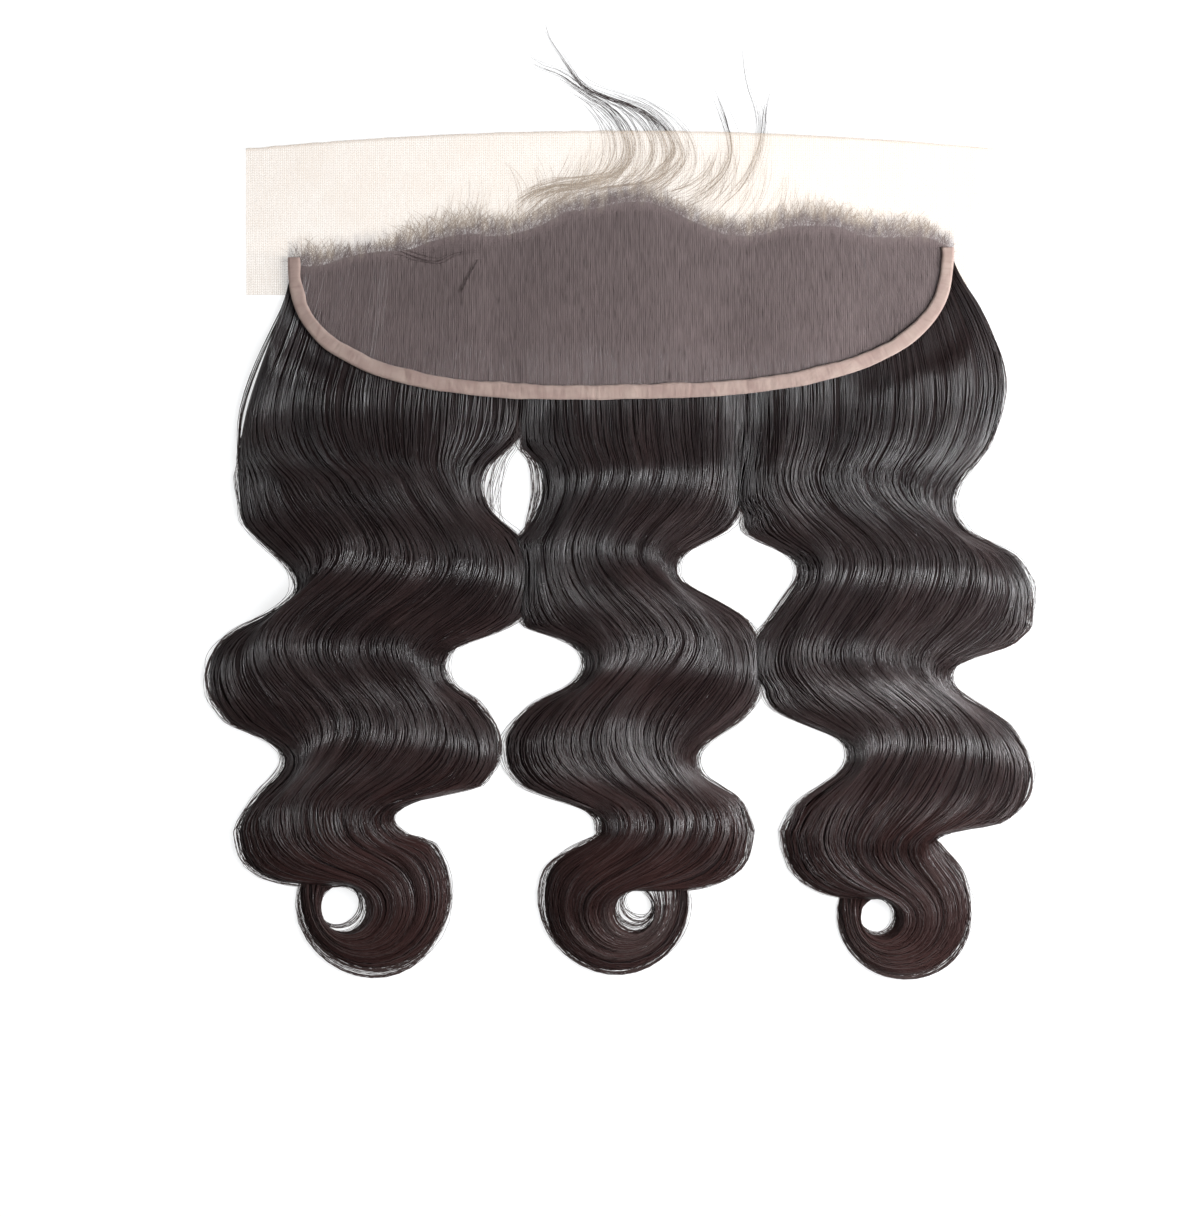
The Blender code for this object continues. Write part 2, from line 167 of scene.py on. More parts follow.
# The locks' sides, measured more closely than in the solids
OUTLINES = [
    Outline(-0.460, -0.985, -0.290, -0.284, 0.340, 0.346, 0.985),
    Outline(-0.352, -0.985, -0.288, -0.282, 0.345, 0.351, 0.990),
    Outline(-0.241, -1.015, -0.283, -0.277, 0.354, 0.360, 1.069),
    Outline(-0.159, -1.048, -0.276, -0.270, 0.362, 0.368, 1.120),
    Outline(-0.076, -1.084, -0.273, -0.267, 0.370, 0.376, 1.150),
    Outline(-0.014, -1.111, -0.272, -0.266, 0.376, 0.382, 1.153),
    Outline(0.048, -1.132, -0.280, -0.273, 0.377, 0.383, 1.135),
    Outline(0.090, -1.141, -0.306, -0.293, 0.375, 0.381, 1.117),
    Outline(0.110, -1.144, -0.338, -0.297, 0.374, 0.380, 1.102),
    Outline(0.131, -1.150, -0.374, -0.262, 0.373, 0.379, 1.081),
    Outline(0.152, -1.150, -0.398, -0.246, 0.371, 0.377, 1.057),
    Outline(0.172, -1.156, -0.410, -0.240, 0.370, 0.376, 1.033),
    Outline(0.193, -1.156, -0.416, -0.237, 0.369, 0.375, 1.015),
    Outline(0.214, -1.153, -0.413, -0.237, 0.368, 0.374, 1.003),
    Outline(0.234, -1.150, -0.404, -0.244, 0.364, 0.371, 1.000),
    Outline(0.255, -1.147, -0.386, -0.254, 0.358, 0.370, 1.003),
    Outline(0.276, -1.141, -0.362, -0.269, 0.345, 0.369, 1.018),
    Outline(0.296, -1.123, -0.323, -0.287, 0.320, 0.373, 1.039),
    Outline(0.317, -1.093, -0.301, -0.294, 0.275, 0.401, 1.078),
    Outline(0.338, -1.069, -0.287, -0.281, 0.207, 0.464, 1.144),
    Outline(0.358, -1.033, -0.276, -0.270, 0.177, 0.512, 1.186),
    Outline(0.379, -1.006, -0.271, -0.265, 0.165, 0.527, 1.207),
    Outline(0.400, -0.986, -0.269, -0.263, 0.165, 0.530, 1.222),
    Outline(0.420, -0.979, -0.269, -0.263, 0.183, 0.524, 1.234),
    Outline(0.441, -0.982, -0.275, -0.268, 0.234, 0.506, 1.239),
    Outline(0.462, -1.009, -0.284, -0.276, 0.284, 0.488, 1.239),
    Outline(0.483, -1.045, -0.294, -0.285, 0.335, 0.467, 1.231),
    Outline(0.503, -1.093, -0.306, -0.290, 0.371, 0.449, 1.228),
    Outline(0.524, -1.150, -0.353, -0.281, 0.394, 0.425, 1.222),
    Outline(0.545, -1.189, -0.416, -0.192, 0.408, 0.418, 1.195),
    Outline(0.565, -1.213, -0.494, -0.135, 0.415, 0.423, 1.165),
    Outline(0.586, -1.228, -0.518, -0.117, 0.419, 0.426, 1.080),
    Outline(0.607, -1.236, -0.528, -0.111, 0.421, 0.428, 1.012),
    Outline(0.627, -1.240, -0.527, -0.117, 0.422, 0.430, 0.997),
    Outline(0.648, -1.242, -0.512, -0.135, 0.421, 0.430, 0.994),
    Outline(0.669, -1.236, -0.488, -0.177, 0.416, 0.431, 1.009),
    Outline(0.689, -1.231, -0.440, -0.240, 0.407, 0.436, 1.048),
    Outline(0.710, -1.213, -0.416, -0.281, 0.389, 0.458, 1.096),
    Outline(0.731, -1.195, -0.395, -0.311, 0.365, 0.497, 1.138),
    Outline(0.751, -1.162, -0.379, -0.329, 0.332, 0.569, 1.171),
    Outline(0.772, -1.093, -0.371, -0.344, 0.287, 0.645, 1.192),
    Outline(0.793, -1.045, -0.368, -0.350, 0.248, 0.674, 1.207),
    Outline(0.813, -1.022, -0.368, -0.347, 0.234, 0.683, 1.222),
    Outline(0.834, -1.016, -0.374, -0.344, 0.231, 0.680, 1.230),
    Outline(0.855, -1.024, -0.389, -0.332, 0.240, 0.662, 1.232),
    Outline(0.875, -1.048, -0.410, -0.311, 0.263, 0.632, 1.231),
    Outline(0.896, -1.075, -0.450, -0.278, 0.314, 0.587, 1.225),
    Outline(0.917, -1.099, -0.590, -0.205, 0.350, 0.551, 1.216),
    Outline(0.938, -1.120, -0.668, -0.120, 0.370, 0.524, 1.201),
    Outline(0.958, -1.135, -0.686, -0.074, 0.374, 0.509, 1.177),
    Outline(0.979, -1.147, -0.683, -0.061, 0.380, 0.497, 1.120),
    Outline(1.000, -1.150, -0.656, -0.063, 0.383, 0.491, 0.940),
]

Curl = namedtuple("Curl", "side drop radius hole hole_side hole_down start turn lean")
LEFT_CURL = Curl(-0.742, 0.80, 1.00, 1.00, -0.427, 0.200, 38, 1, 45)
MIDDLE_CURL = Curl(-0.015, 0.86, 0.97, 0.86, 0.260, 0.170, 20, -1, 48)
RIGHT_CURL = Curl(0.850, 1.02, 0.88, 0.80, -0.390, 0.110, 26, 1, 0)
INNER_START, INNER_END = 100, -228
OUTER_END = -181
CURL_RISE = 0.80
TAIL_RISE = 0.34
INNER_PULL = (1.3, 1.4)
OUTER_PULL = (0.6, 0.9)

Arc = namedtuple("Arc", "hairs spread spots")
# The wisps' bundles of fine hairs, each along spots in the photograph's pixels
WISPS = {
    "baby_hair_middle": [
        Arc(44, 0.0034, (
            (556, 206), (588, 197), (620, 190), (650, 181), (672, 166), (682, 148),
            (678, 132),
        )),
        Arc(22, 0.0022, (
            (606, 207), (636, 190), (660, 172), (674, 153), (673, 136), (662, 121),
            (636, 104), (603, 92), (583, 82), (567, 60), (548, 31), (545, 13),
        )),
        Arc(15, 0.0016, (
            (652, 184), (664, 168), (668, 150), (664, 133), (652, 116), (632, 102),
            (604, 92), (585, 84), (573, 70), (557, 44),
        )),
        Arc(22, 0.0022, (
            (590, 196), (622, 186), (646, 169), (655, 151), (652, 133), (641, 116),
            (622, 102), (600, 94), (583, 84), (570, 68),
        )),
        Arc(12, 0.0030, (
            (640, 196), (668, 182), (684, 163), (684, 143), (672, 123), (650, 108),
            (628, 97), (606, 86),
        )),
    ],
    "baby_hair_left": [
        Arc(50, 0.0018, (
            (512, 208), (532, 194), (556, 185), (582, 181), (606, 175), (624, 163),
            (630, 146), (626, 128),
        )),
        Arc(24, 0.0022, (
            (522, 203), (536, 191), (555, 184), (580, 181), (606, 174), (621, 160),
            (624, 142), (618, 124), (604, 108), (590, 98), (574, 87), (553, 74),
        )),
        Arc(22, 0.0020, (
            (560, 197), (590, 190), (618, 176), (634, 157), (635, 138), (626, 119),
            (610, 103), (593, 93), (578, 84), (560, 71), (536, 62), (519, 45),
        )),
        Arc(12, 0.0026, (
            (545, 200), (572, 188), (596, 176), (608, 158), (610, 140), (604, 122),
            (592, 106), (578, 94),
        )),
    ],
    "baby_hair_right": [
        Arc(18, 0.0018, (
            (688, 199), (709, 189), (724, 175), (732, 156), (732, 136), (727, 118),
            (719, 98), (711, 75),
        )),
        Arc(14, 0.0022, ((660, 196), (684, 187), (704, 173), (714, 156), (717, 138))),
        Arc(8, 0.0020, ((672, 200), (696, 192), (716, 176), (725, 158), (727, 140), (724, 122))),
    ],
    "baby_hair_far_right": [
        Arc(12, 0.0016, (
            (720, 206), (738, 189), (752, 168), (761, 147), (765, 128), (767, 108),
            (770, 90), (775, 72),
        )),
        Arc(9, 0.0020, (
            (734, 202), (751, 178), (761, 153), (764, 130), (760, 107), (752, 84),
            (747, 56), (743, 30),
        )),
    ],
}
# Hairs pulled through to the scalp side, which lie in dark curls on the lace
STRAYS = [
    Arc(7, 0.0012, (
        (388, 250), (400, 251), (414, 256), (430, 260), (441, 259), (452, 253),
        (467, 250), (486, 249),
    )),
    Arc(6, 0.0009, ((458, 296), (464, 283), (471, 270), (478, 258))),
]

Rung = namedtuple("Rung", "left right rise")
Hair = namedtuple("Hair", "points radii tone")


# Plain numbers and curves


def clamp(value, low=0.0, high=1.0):
    return min(high, max(low, value))


def smooth(value):
    value = clamp(value)
    return value * value * (3 - 2 * value)


def lerp(first, last, share):
    return first + (last - first) * share


def wander(*place):
    """Soft noise from -1 to 1."""
    x, y, z = (*place, 0.0, 0.0)[:3]
    return noise.noise(Vector((x, y, z)))


def spline(rows, place):
    """A point on the Catmull-Rom curve through the rows. place counts rows from 0."""
    index = int(clamp(place, 0, len(rows) - 2))
    t = place - index
    p1, p2 = rows[index], rows[index + 1]
    p0 = rows[index - 1] if index > 0 else 2 * p1 - p2
    p3 = rows[index + 2] if index + 2 < len(rows) else 2 * p2 - p1
    bend = 2 * p0 - 5 * p1 + 4 * p2 - p3
    twist = 3 * p1 - p0 - 3 * p2 + p3
    return 0.5 * (2 * p1 + (p2 - p0) * t + bend * t**2 + twist * t**3)


def hermite(start, start_pull, end, end_pull, t):
    return (
        start * (2 * t**3 - 3 * t**2 + 1)
        + start_pull * (t**3 - 2 * t**2 + t)
        + end * (3 * t**2 - 2 * t**3)
        + end_pull * (t**3 - t**2)
    )


def even_places(points, count):
    """Places at even distances along the points: the point before each, and the share on to the next."""
    gone = [0.0]
    for before, after in zip(points, points[1:]):
        gone.append(gone[-1] + (after - before).length)
    places = []
    index = 0
    for step in range(count + 1):
        target = gone[-1] * step / count
        while index < len(points) - 2 and gone[index + 1] < target:
            index += 1
        places.append((index, clamp((target - gone[index]) / (gone[index + 1] - gone[index]))))
    return places


# Outlines of the lace base


def eased(rows, x):
    """The second field of the rows at x, eased from row to row."""
    side = clamp(x / HALF_CAP, -1, 1)
    index = max(i for i, row in enumerate(rows[:-1]) if row.side <= side)
    (before, first), (after, last) = rows[index], rows[index + 1]
    return lerp(first, last, smooth((side - before) / (after - before)))


def hairline(x):
    return eased(HAIRLINE, x) * CAP_DEPTH


def full_line(x):
    """Where the hair behind the hairline is at its fullest."""
    return hairline(x) - eased(FEATHERING, x)


def front_edge(x):
    return LACE_DEPTH - FRONT_BOW * (2 * x / LACE_SPAN) ** 2


def binding_edge(x):
    inside = clamp(1 - min(1.0, abs(x) / HALF_CAP) ** BACK_SQUARENESS)
    return TEMPLE_DEPTH * (1 - inside ** (1 / BACK_SQUARENESS)) + BACK_SKEW * x / HALF_CAP


def corner_side():
    inside = FLAP_OVERLAP / TEMPLE_DEPTH
    return (1 - inside**BACK_SQUARENESS) ** (1 / BACK_SQUARENESS)


def back_edge(x):
    corner = corner_side() * HALF_CAP
    return binding_edge(clamp(x, -corner, corner))


def past_back_edge(x, y):
    across = abs(x) / HALF_CAP
    deep = max(0.0, TEMPLE_DEPTH - y) / TEMPLE_DEPTH
    return ((across**BACK_SQUARENESS + deep**BACK_SQUARENESS) ** (1 / BACK_SQUARENESS) - 1) * TEMPLE_DEPTH


def lace_height(x, y):
    full = smooth((hairline(x) - y) / CAP_DEPTH)
    shoulder = 1 - SHOULDER_DROP * min(1.0, abs(x) / HALF_CAP) ** 2
    return lerp(MARGIN_LIFT, BACK_LIFT, full * shoulder)


def binding_path(steps):
    """Evenly spaced points along the binding's outer edge, from the left temple to the right one."""
    fine = 20 * steps
    sides = [-HALF_CAP * math.cos(math.pi * i / fine) for i in range(fine + 1)]
    points = [Vector((side, binding_edge(side))) for side in sides]
    return [points[index].lerp(points[index + 1], share) for index, share in even_places(points, steps)]


# The locks' paths


def outline(y, column):
    """x of a lock's side at y."""
    down = clamp(-y / WAVE_FALL, OUTLINES[0].down, OUTLINES[-1].down)
    index = max(i for i, row in enumerate(OUTLINES[:-1]) if row.down <= down)
    share = (down - OUTLINES[index].down) / (OUTLINES[index + 1].down - OUTLINES[index].down)
    return spline([getattr(row, column) for row in OUTLINES], index + share) * HALF_CAP


def wave_rungs(root_sides, columns):
    """The rungs from the roots to the last level."""
    falls = [-level.down * WAVE_FALL for level in LEVELS]
    sides = []
    for root, column in zip(root_sides, columns):
        depths = [hairline(root * HALF_CAP), *falls]
        heights = [spline(depths, step / STEPS_PER_LEVEL) for step in range(len(falls) * STEPS_PER_LEVEL + 1)]
        sides.append([Vector((outline(y, column), y)) for y in heights])
    rises = [HAIR_EDGE / HAIR_LOFT, *(level.rise for level in LEVELS)]
    return [Rung(*ends, spline(rises, step / STEPS_PER_LEVEL)) for step, ends in enumerate(zip(*sides))]


def on_circle(centre, radius, turn, degrees):
    angle = math.radians(degrees)
    return centre + radius * Vector((turn * math.cos(angle), math.sin(angle)))


def curl_rung(curl, share):
    radius = curl.radius * CURL_RADIUS
    centre = Vector((curl.side * HALF_CAP, -WAVE_FALL - curl.drop * CURL_RADIUS))
    hole = centre + radius * Vector((curl.hole_side, -curl.hole_down))
    inner = on_circle(hole, curl.hole * CURL_HOLE, curl.turn, lerp(INNER_START, INNER_END, share))
    outer = on_circle(centre, radius, curl.turn, lerp(curl.start, OUTER_END, share))
    rise = lerp(CURL_RISE, TAIL_RISE, share)
    return Rung(inner, outer, rise) if curl.turn > 0 else Rung(outer, inner, rise)


def into_curl(last_level, curl):
    start = curl_rung(curl, 0)
    after = curl_rung(curl, 0.05)
    pulls = (INNER_PULL, OUTER_PULL) if curl.turn > 0 else (OUTER_PULL, INNER_PULL)
    outer = "right" if curl.turn > 0 else "left"
    lean = math.radians(curl.lean) * curl.turn
    ends = []
    for edge, (first_pull, last_pull) in zip(("left", "right"), pulls):
        begin, end = getattr(last_level, edge), getattr(start, edge)
        reach = (end - begin).length
        heading = (getattr(after, edge) - end).normalized()
        slant = lean if edge == outer else 0
        leaving = Vector((math.sin(slant), -math.cos(slant))) * reach * first_pull
        ends.append((begin, leaving, end, heading * reach * last_pull))
    rungs = []
    for step in range(1, STEPS_INTO_CURL):
        t = step / STEPS_INTO_CURL
        left, right = (hermite(*end, t) for end in ends)
        rungs.append(Rung(left, right, lerp(last_level.rise, start.rise, t)))
    return rungs


def lock_rungs(root_sides, columns, curl):
    rungs = wave_rungs(root_sides, columns)
    rungs += into_curl(rungs[-1], curl)
    rungs += [curl_rung(curl, step / STEPS_ROUND_CURL) for step in range(STEPS_ROUND_CURL + 1)]
    tail = curl_rung(curl, 1 + 1 / STEPS_ROUND_CURL)
    rungs.append(tail._replace(rise=TAIL_TIP_RISE))
    return rungs


def keep_partings(locks):
    for neighbour, lock in zip(locks, locks[1:]):
        for step in range(len(LEVELS) * STEPS_PER_LEVEL + 1):
            left = lock[step].left.copy()
            left.x = max(left.x, neighbour[step].right.x + PARTING_GAP)
            lock[step] = lock[step]._replace(left=left)


def close_partings(locks):
    """Where two locks touch, the right one slips a little under its neighbour, and no light falls through."""
    for neighbour, lock in zip(locks, locks[1:]):
        for step in range(len(LEVELS) * STEPS_PER_LEVEL + 1):
            gap = lock[step].left.x - neighbour[step].right.x
            left = lock[step].left.copy()
            left.x -= TUCK_UNDER * smooth((TOUCHING - gap) / TOUCHING_EASE)
            lock[step] = lock[step]._replace(left=left)


def crown(u):
    return (1 - min(1.0, abs(2 * u - 1)) ** CROWN_FLATNESS) ** CROWN_STEEPNESS


def softened(points, times):
    """The points with their bends rounded. Each becomes half itself and a quarter of each neighbour."""
    for _ in range(times):
        inner = [(a + 2 * b + c) / 4 for a, b, c in zip(points, points[1:], points[2:])]
        points = [points[0], *inner, points[-1]]
    return points


class Lock:
    """The course of one lock. A place in it is u, from left to right, and step along its rungs."""

    GROOVE = 0.0012  # depth of the deepest grooves between its clumps of hair
    CLUMPS = 7  # across the lock
    FINE = 600  # places in the table of even distances
    ROUNDING = 6  # inside the lock the hair takes its bends rounder than at the sides
    EARLY = {"left": 2.6, "middle": 1.8, "right": 1.9}  # and so many steps earlier in its middle

    def __init__(self, side, rungs):
        self.side = side
        lefts, rights, self.rises = zip(*rungs)
        self.last_wave = len(LEVELS) * STEPS_PER_LEVEL
        self.lefts, self.rights = lefts, rights
        self.soft_lefts, self.soft_rights = (softened(edge, self.ROUNDING) for edge in (lefts, rights))
        self.steps = len(rungs) - 1
        self.seed = 10.0 + 7 * "left middle right".split().index(side)
        self.course = self.even_steps(self.FINE)

    def fanned(self, u, step):
        """The left lock's hair fans out from the temple as it comes out under the binding."""
        if self.side != "left" or step > 14:
            return u
        return clamp(u) ** lerp(1.9, 1.0, smooth((step - 5) / 9)) + min(0, u) + max(0, u - 1)

    def flat(self, u, step):
        """x and y of a place. Inside the lock bends are rounder, and clumps take them earlier or later."""
        place = clamp(step, 0, self.steps)
        u = self.fanned(u, place)
        point = spline(self.lefts, place).lerp(spline(self.rights, place), u)
        inner = smooth(min(u, 1 - u) / 0.22)
        if inner > 0:
            waving = smooth((step - 8) / 6) * smooth((self.last_wave - step) / 6)
            own_time = 1.4 * wander(u * 2.4, step * 0.06, self.seed + 9)
            early = waving * (self.EARLY[self.side] * 4 * u * (1 - u) + own_time)
            rounder = spline(self.soft_lefts, place).lerp(spline(self.soft_rights, place), u)
            sideways = clamp(place + early, 0, self.steps)
            rounder.x = lerp(spline(self.soft_lefts, sideways).x, spline(self.soft_rights, sideways).x, u)
            point = point.lerp(rounder, inner)
        bent = clamp(1 - step / STEPS_PER_LEVEL / 2)
        if bent > 0:
            root = self.lefts[0].lerp(self.rights[0], clamp(u))
            point.y += bent**2 * (full_line(root.x) - root.y)
        return point

    def width(self, step):
        place = clamp(step, 0, self.steps)
        return (spline(self.rights, place) - spline(self.lefts, place)).length

    def grooves(self, u, step):
        """How deep the surface lies between clumps, from 0 to 1."""
        clump = wander(u * self.CLUMPS, step * 0.035, self.seed)
        lesser = wander(u * self.CLUMPS * 3.1, step * 0.055, self.seed + 3)
        least = wander(u * self.CLUMPS * 9, step * 0.08, self.seed + 6)
        deep = 0.5 * (1 - min(1, 2.6 * abs(clump)))
        shallow = 0.3 * (1 - min(1, 2.2 * abs(lesser)))
        return deep + shallow + 0.2 * (0.5 + 0.5 * least)

    def fullness(self, u, y):
        """The crown of the lock's section, which stays full towards a neighbour under the lace."""
        u = clamp(u)
        full = crown(u)
        under = smooth((y + 0.012) / 0.03)
        if self.side != "left":
            full = lerp(full, 1, under * smooth(1 - u / 0.2))
        if self.side != "right":
            full = lerp(full, 1, under * smooth(1 - (1 - u) / 0.2))
        return full

    def height(self, u, step):
        """The surface's height."""
        x, y = self.flat(u, step)
        rise = spline(self.rises, clamp(step, 0, self.steps))
        full = self.fullness(u, y)
        valley = STRAND_DEPTH * (0.5 + 0.5 * math.cos(2 * math.pi * STRANDS * u))
        own = HAIR_LOFT * rise * full * (1 - valley * full)
        own -= self.GROOVE * self.grooves(u, step) * full
        uncovered = max(0.0, past_back_edge(x, y) - REVEAL)
        room = lace_height(x, y) - CLEARANCE + REVEAL_SLOPE * uncovered
        return max(0.4 * HAIR_EDGE, min(own, room))

    def point(self, u, step, lift=0.0):
        """A place on the surface, or lift above it, but never up through the lace or the binding."""
        x, y = self.flat(u, step)
        ceiling = lace_height(x, y) - CLEARANCE + 3 * REVEAL_SLOPE * max(0.0, past_back_edge(x, y) - REVEAL)
        return Vector((x, y, max(ABOVE_TABLE, min(self.height(u, step) + lift, ceiling))))

    def even_steps(self, count):
        """Places along the lock at even distances down its middle."""
        fine = 12 * self.steps
        middle = [self.flat(0.5, self.steps * i / fine) for i in range(fine + 1)]
        return [self.steps * (index + share) / fine for index, share in even_places(middle, count)]

    def step_at(self, share):
        """The step at a share of the lock's length."""
        place = clamp(share) * self.FINE
        index = min(int(place), self.FINE - 1)
        return lerp(self.course[index], self.course[index + 1], place - index)

    def share_at(self, step):
        """The share of the lock's length at a step."""
        index = next(i for i, known in enumerate(self.course) if known >= min(step, self.course[-1]))
        return index / self.FINE


def locks():
    left_root, left_parting, right_parting, right_root = ROOT_SIDES
    courses = [
        lock_rungs((left_root, left_parting), ("left_out", "left_in"), LEFT_CURL),
        lock_rungs((left_parting, right_parting), ("middle_left", "middle_right"), MIDDLE_CURL),
        lock_rungs((right_parting, right_root), ("right_in", "right_out"), RIGHT_CURL),
    ]
    keep_partings(courses)
    close_partings(courses)
    return [Lock(side, rungs) for side, rungs in zip(("left", "middle", "right"), courses)]


# Materials


class Number:
    """A number that varies over a surface. Arithmetic on it adds the material's Math nodes."""

    def __init__(self, finish, socket):
        self.finish = finish
        self.socket = socket

    def _math(self, operation, *values):
        node = self.finish.tree.nodes.new("ShaderNodeMath")
        node.operation = operation
        for socket, value in zip(node.inputs, values):
            self.finish.put(socket, value)
        return Number(self.finish, node.outputs[0])

    def __add__(self, other):
        return self._math("ADD", self, other)

    def __sub__(self, other):
        return self._math("SUBTRACT", self, other)

    def __rsub__(self, other):
        return self._math("SUBTRACT", other, self)

    def __mul__(self, other):
        return self._math("MULTIPLY", self, other)

    def __truediv__(self, other):
        return self._math("DIVIDE", self, other)

    def sine(self):
        return self._math("SINE", self)

    def fold(self, size):
        """Goes up from 0 to size and down again, over and over."""
        return self._math("PINGPONG", self, size)

    def larger(self, other):
        return self._math("MAXIMUM", self, other)

    def smaller(self, other):
        return self._math("MINIMUM", self, other)

    def ease(self, low, high, start=0.0, end=1.0):
        """Eases from start to end as this number goes from low to high."""
        return self.finish.node(
            "ShaderNodeMapRange",
            {"interpolation_type": "SMOOTHSTEP"},
            {"Value": self, "From Min": low, "From Max": high, "To Min": start, "To Max": end},
        )


class Finish:
    """A material round one Principled shader."""

    def __init__(self, name, roughness=0.5, specular=0.5, sheen=0.0):
        self.material = bpy.data.materials.new(name)
        self.material.use_nodes = True
        self.tree = self.material.node_tree
        self.shader = self.tree.nodes["Principled BSDF"]
        self.set("Roughness", roughness)
        self.set("Specular IOR Level", specular)
        self.set("Sheen Weight", sheen)

    def put(self, socket, value):
        if isinstance(value, Number):
            self.tree.links.new(value.socket, socket)
        else:
            socket.default_value = value

    def set(self, socket_name, value):
        self.put(self.shader.inputs[socket_name], value)

    def node(self, kind, settings=None, values=None, output=0):
        made = self.tree.nodes.new(kind)
        for key, value in (settings or {}).items():
            setattr(made, key, value)
        for key, value in (values or {}).items():
            self.put(made.inputs[key], value)
        return Number(self, made.outputs[output])

    def coordinates(self, layer=None):
        """x, y and z of the object, or of one of the piece's own UV layers."""
        if layer:
            source = self.node("ShaderNodeUVMap", {"uv_map": layer})
        else:
            source = self.node("ShaderNodeTexCoord", output="Object")
        split = self.tree.nodes.new("ShaderNodeSeparateXYZ")
        self.put(split.inputs[0], source)
        return [Number(self, socket) for socket in split.outputs]

    def vector(self, x, y, z=0.0):
        return self.node("ShaderNodeCombineXYZ", values={"X": x, "Y": y, "Z": z})

    def noise(self, vector, scale, detail=2.0, roughness=0.5):
        values = {"Vector": vector, "Scale": scale, "Detail": detail, "Roughness": roughness}
        return self.node("ShaderNodeTexNoise", values=values)

    def mix(self, share, first, last):
        values = {0: share, 6: first, 7: last}
        return self.node("ShaderNodeMix", {"data_type": "RGBA"}, values, output=2)

    def bump(self, height, distance, strength=1.0):
        values = {"Height": height, "Distance": distance, "Strength": strength}
        self.set("Normal", self.node("ShaderNodeBump", values=values))


HAIR_SHADE = (0.0105, 0.0056, 0.0054, 1)
HAIR_BLACK = (0.0095, 0.0042, 0.0042, 1)
HAIR_SOOT = (0.0115, 0.0062, 0.0064, 1)
HAIR_BROWN = (0.0300, 0.0125, 0.0110, 1)
FINE_DARK = (0.0480, 0.0330, 0.0320, 1)
FINE_BROWN = (0.0560, 0.0350, 0.0320, 1)
LACE_CREAM = (0.66, 0.535, 0.420, 1)
LACE_KNOTTED = (0.222, 0.170, 0.166, 1)
LACE_FRINGE = (0.230, 0.185, 0.175, 1)
TAPE_PINK = (0.275, 0.196, 0.172, 1)
TAPE_BEIGE = (0.335, 0.252, 0.216, 1)
# Colour of the painted shade in the tape's gathers
TAPE_GATHER_SHADE = (0.190, 0.118, 0.104, 1)

WAVE_TOP, WAVE_END = 0.05, -0.235  # y of the binding and of the curls, where the hair turns browner
DRY_START, DRY_END = -0.145, -0.190  # y over which the hair's ends turn duller


def hair_finish(name, dark, light, roughness, specular=0.5):
    """Hair whose colour turns browner towards its ends and varies softly from place to place."""
    finish = Finish(name, roughness, specular)
    x, y, z = finish.coordinates()
    spot = finish.noise(finish.vector(x, y, z), 38.0, 2.0)
    ends = y.ease(WAVE_END, WAVE_TOP, 0.85, 0.2)
    brown = (ends + (spot - 0.5) * 1.1).larger(0.0).smaller(1.0)
    finish.set("Base Color", finish.mix(brown, dark, light))
    dry = y.ease(DRY_END, DRY_START, 0.10, 0.0)
    finish.set("Roughness", (spot - 0.5) * 0.12 + dry + roughness)
    return finish.material


def combed_finish(name):
    """The body of a lock under its loose strands, combed along the flow of the hair."""
    finish = Finish(name, 0.5, 0.12)
    across, along, _ = finish.coordinates("Flow")
    fine = finish.noise(finish.vector(across * 2400, along * 14), 1.0, 3.0, 0.6)
    broad = finish.noise(finish.vector(across * 600, along * 9), 1.0, 2.0)
    finish.set("Base Color", finish.mix(broad.ease(0.35, 0.7), HAIR_SHADE, HAIR_BLACK))
    finish.set("Roughness", fine * 0.3 + 0.4)
    finish.bump(fine * 0.7 + broad, 0.0009, 1.0)
    return finish.material


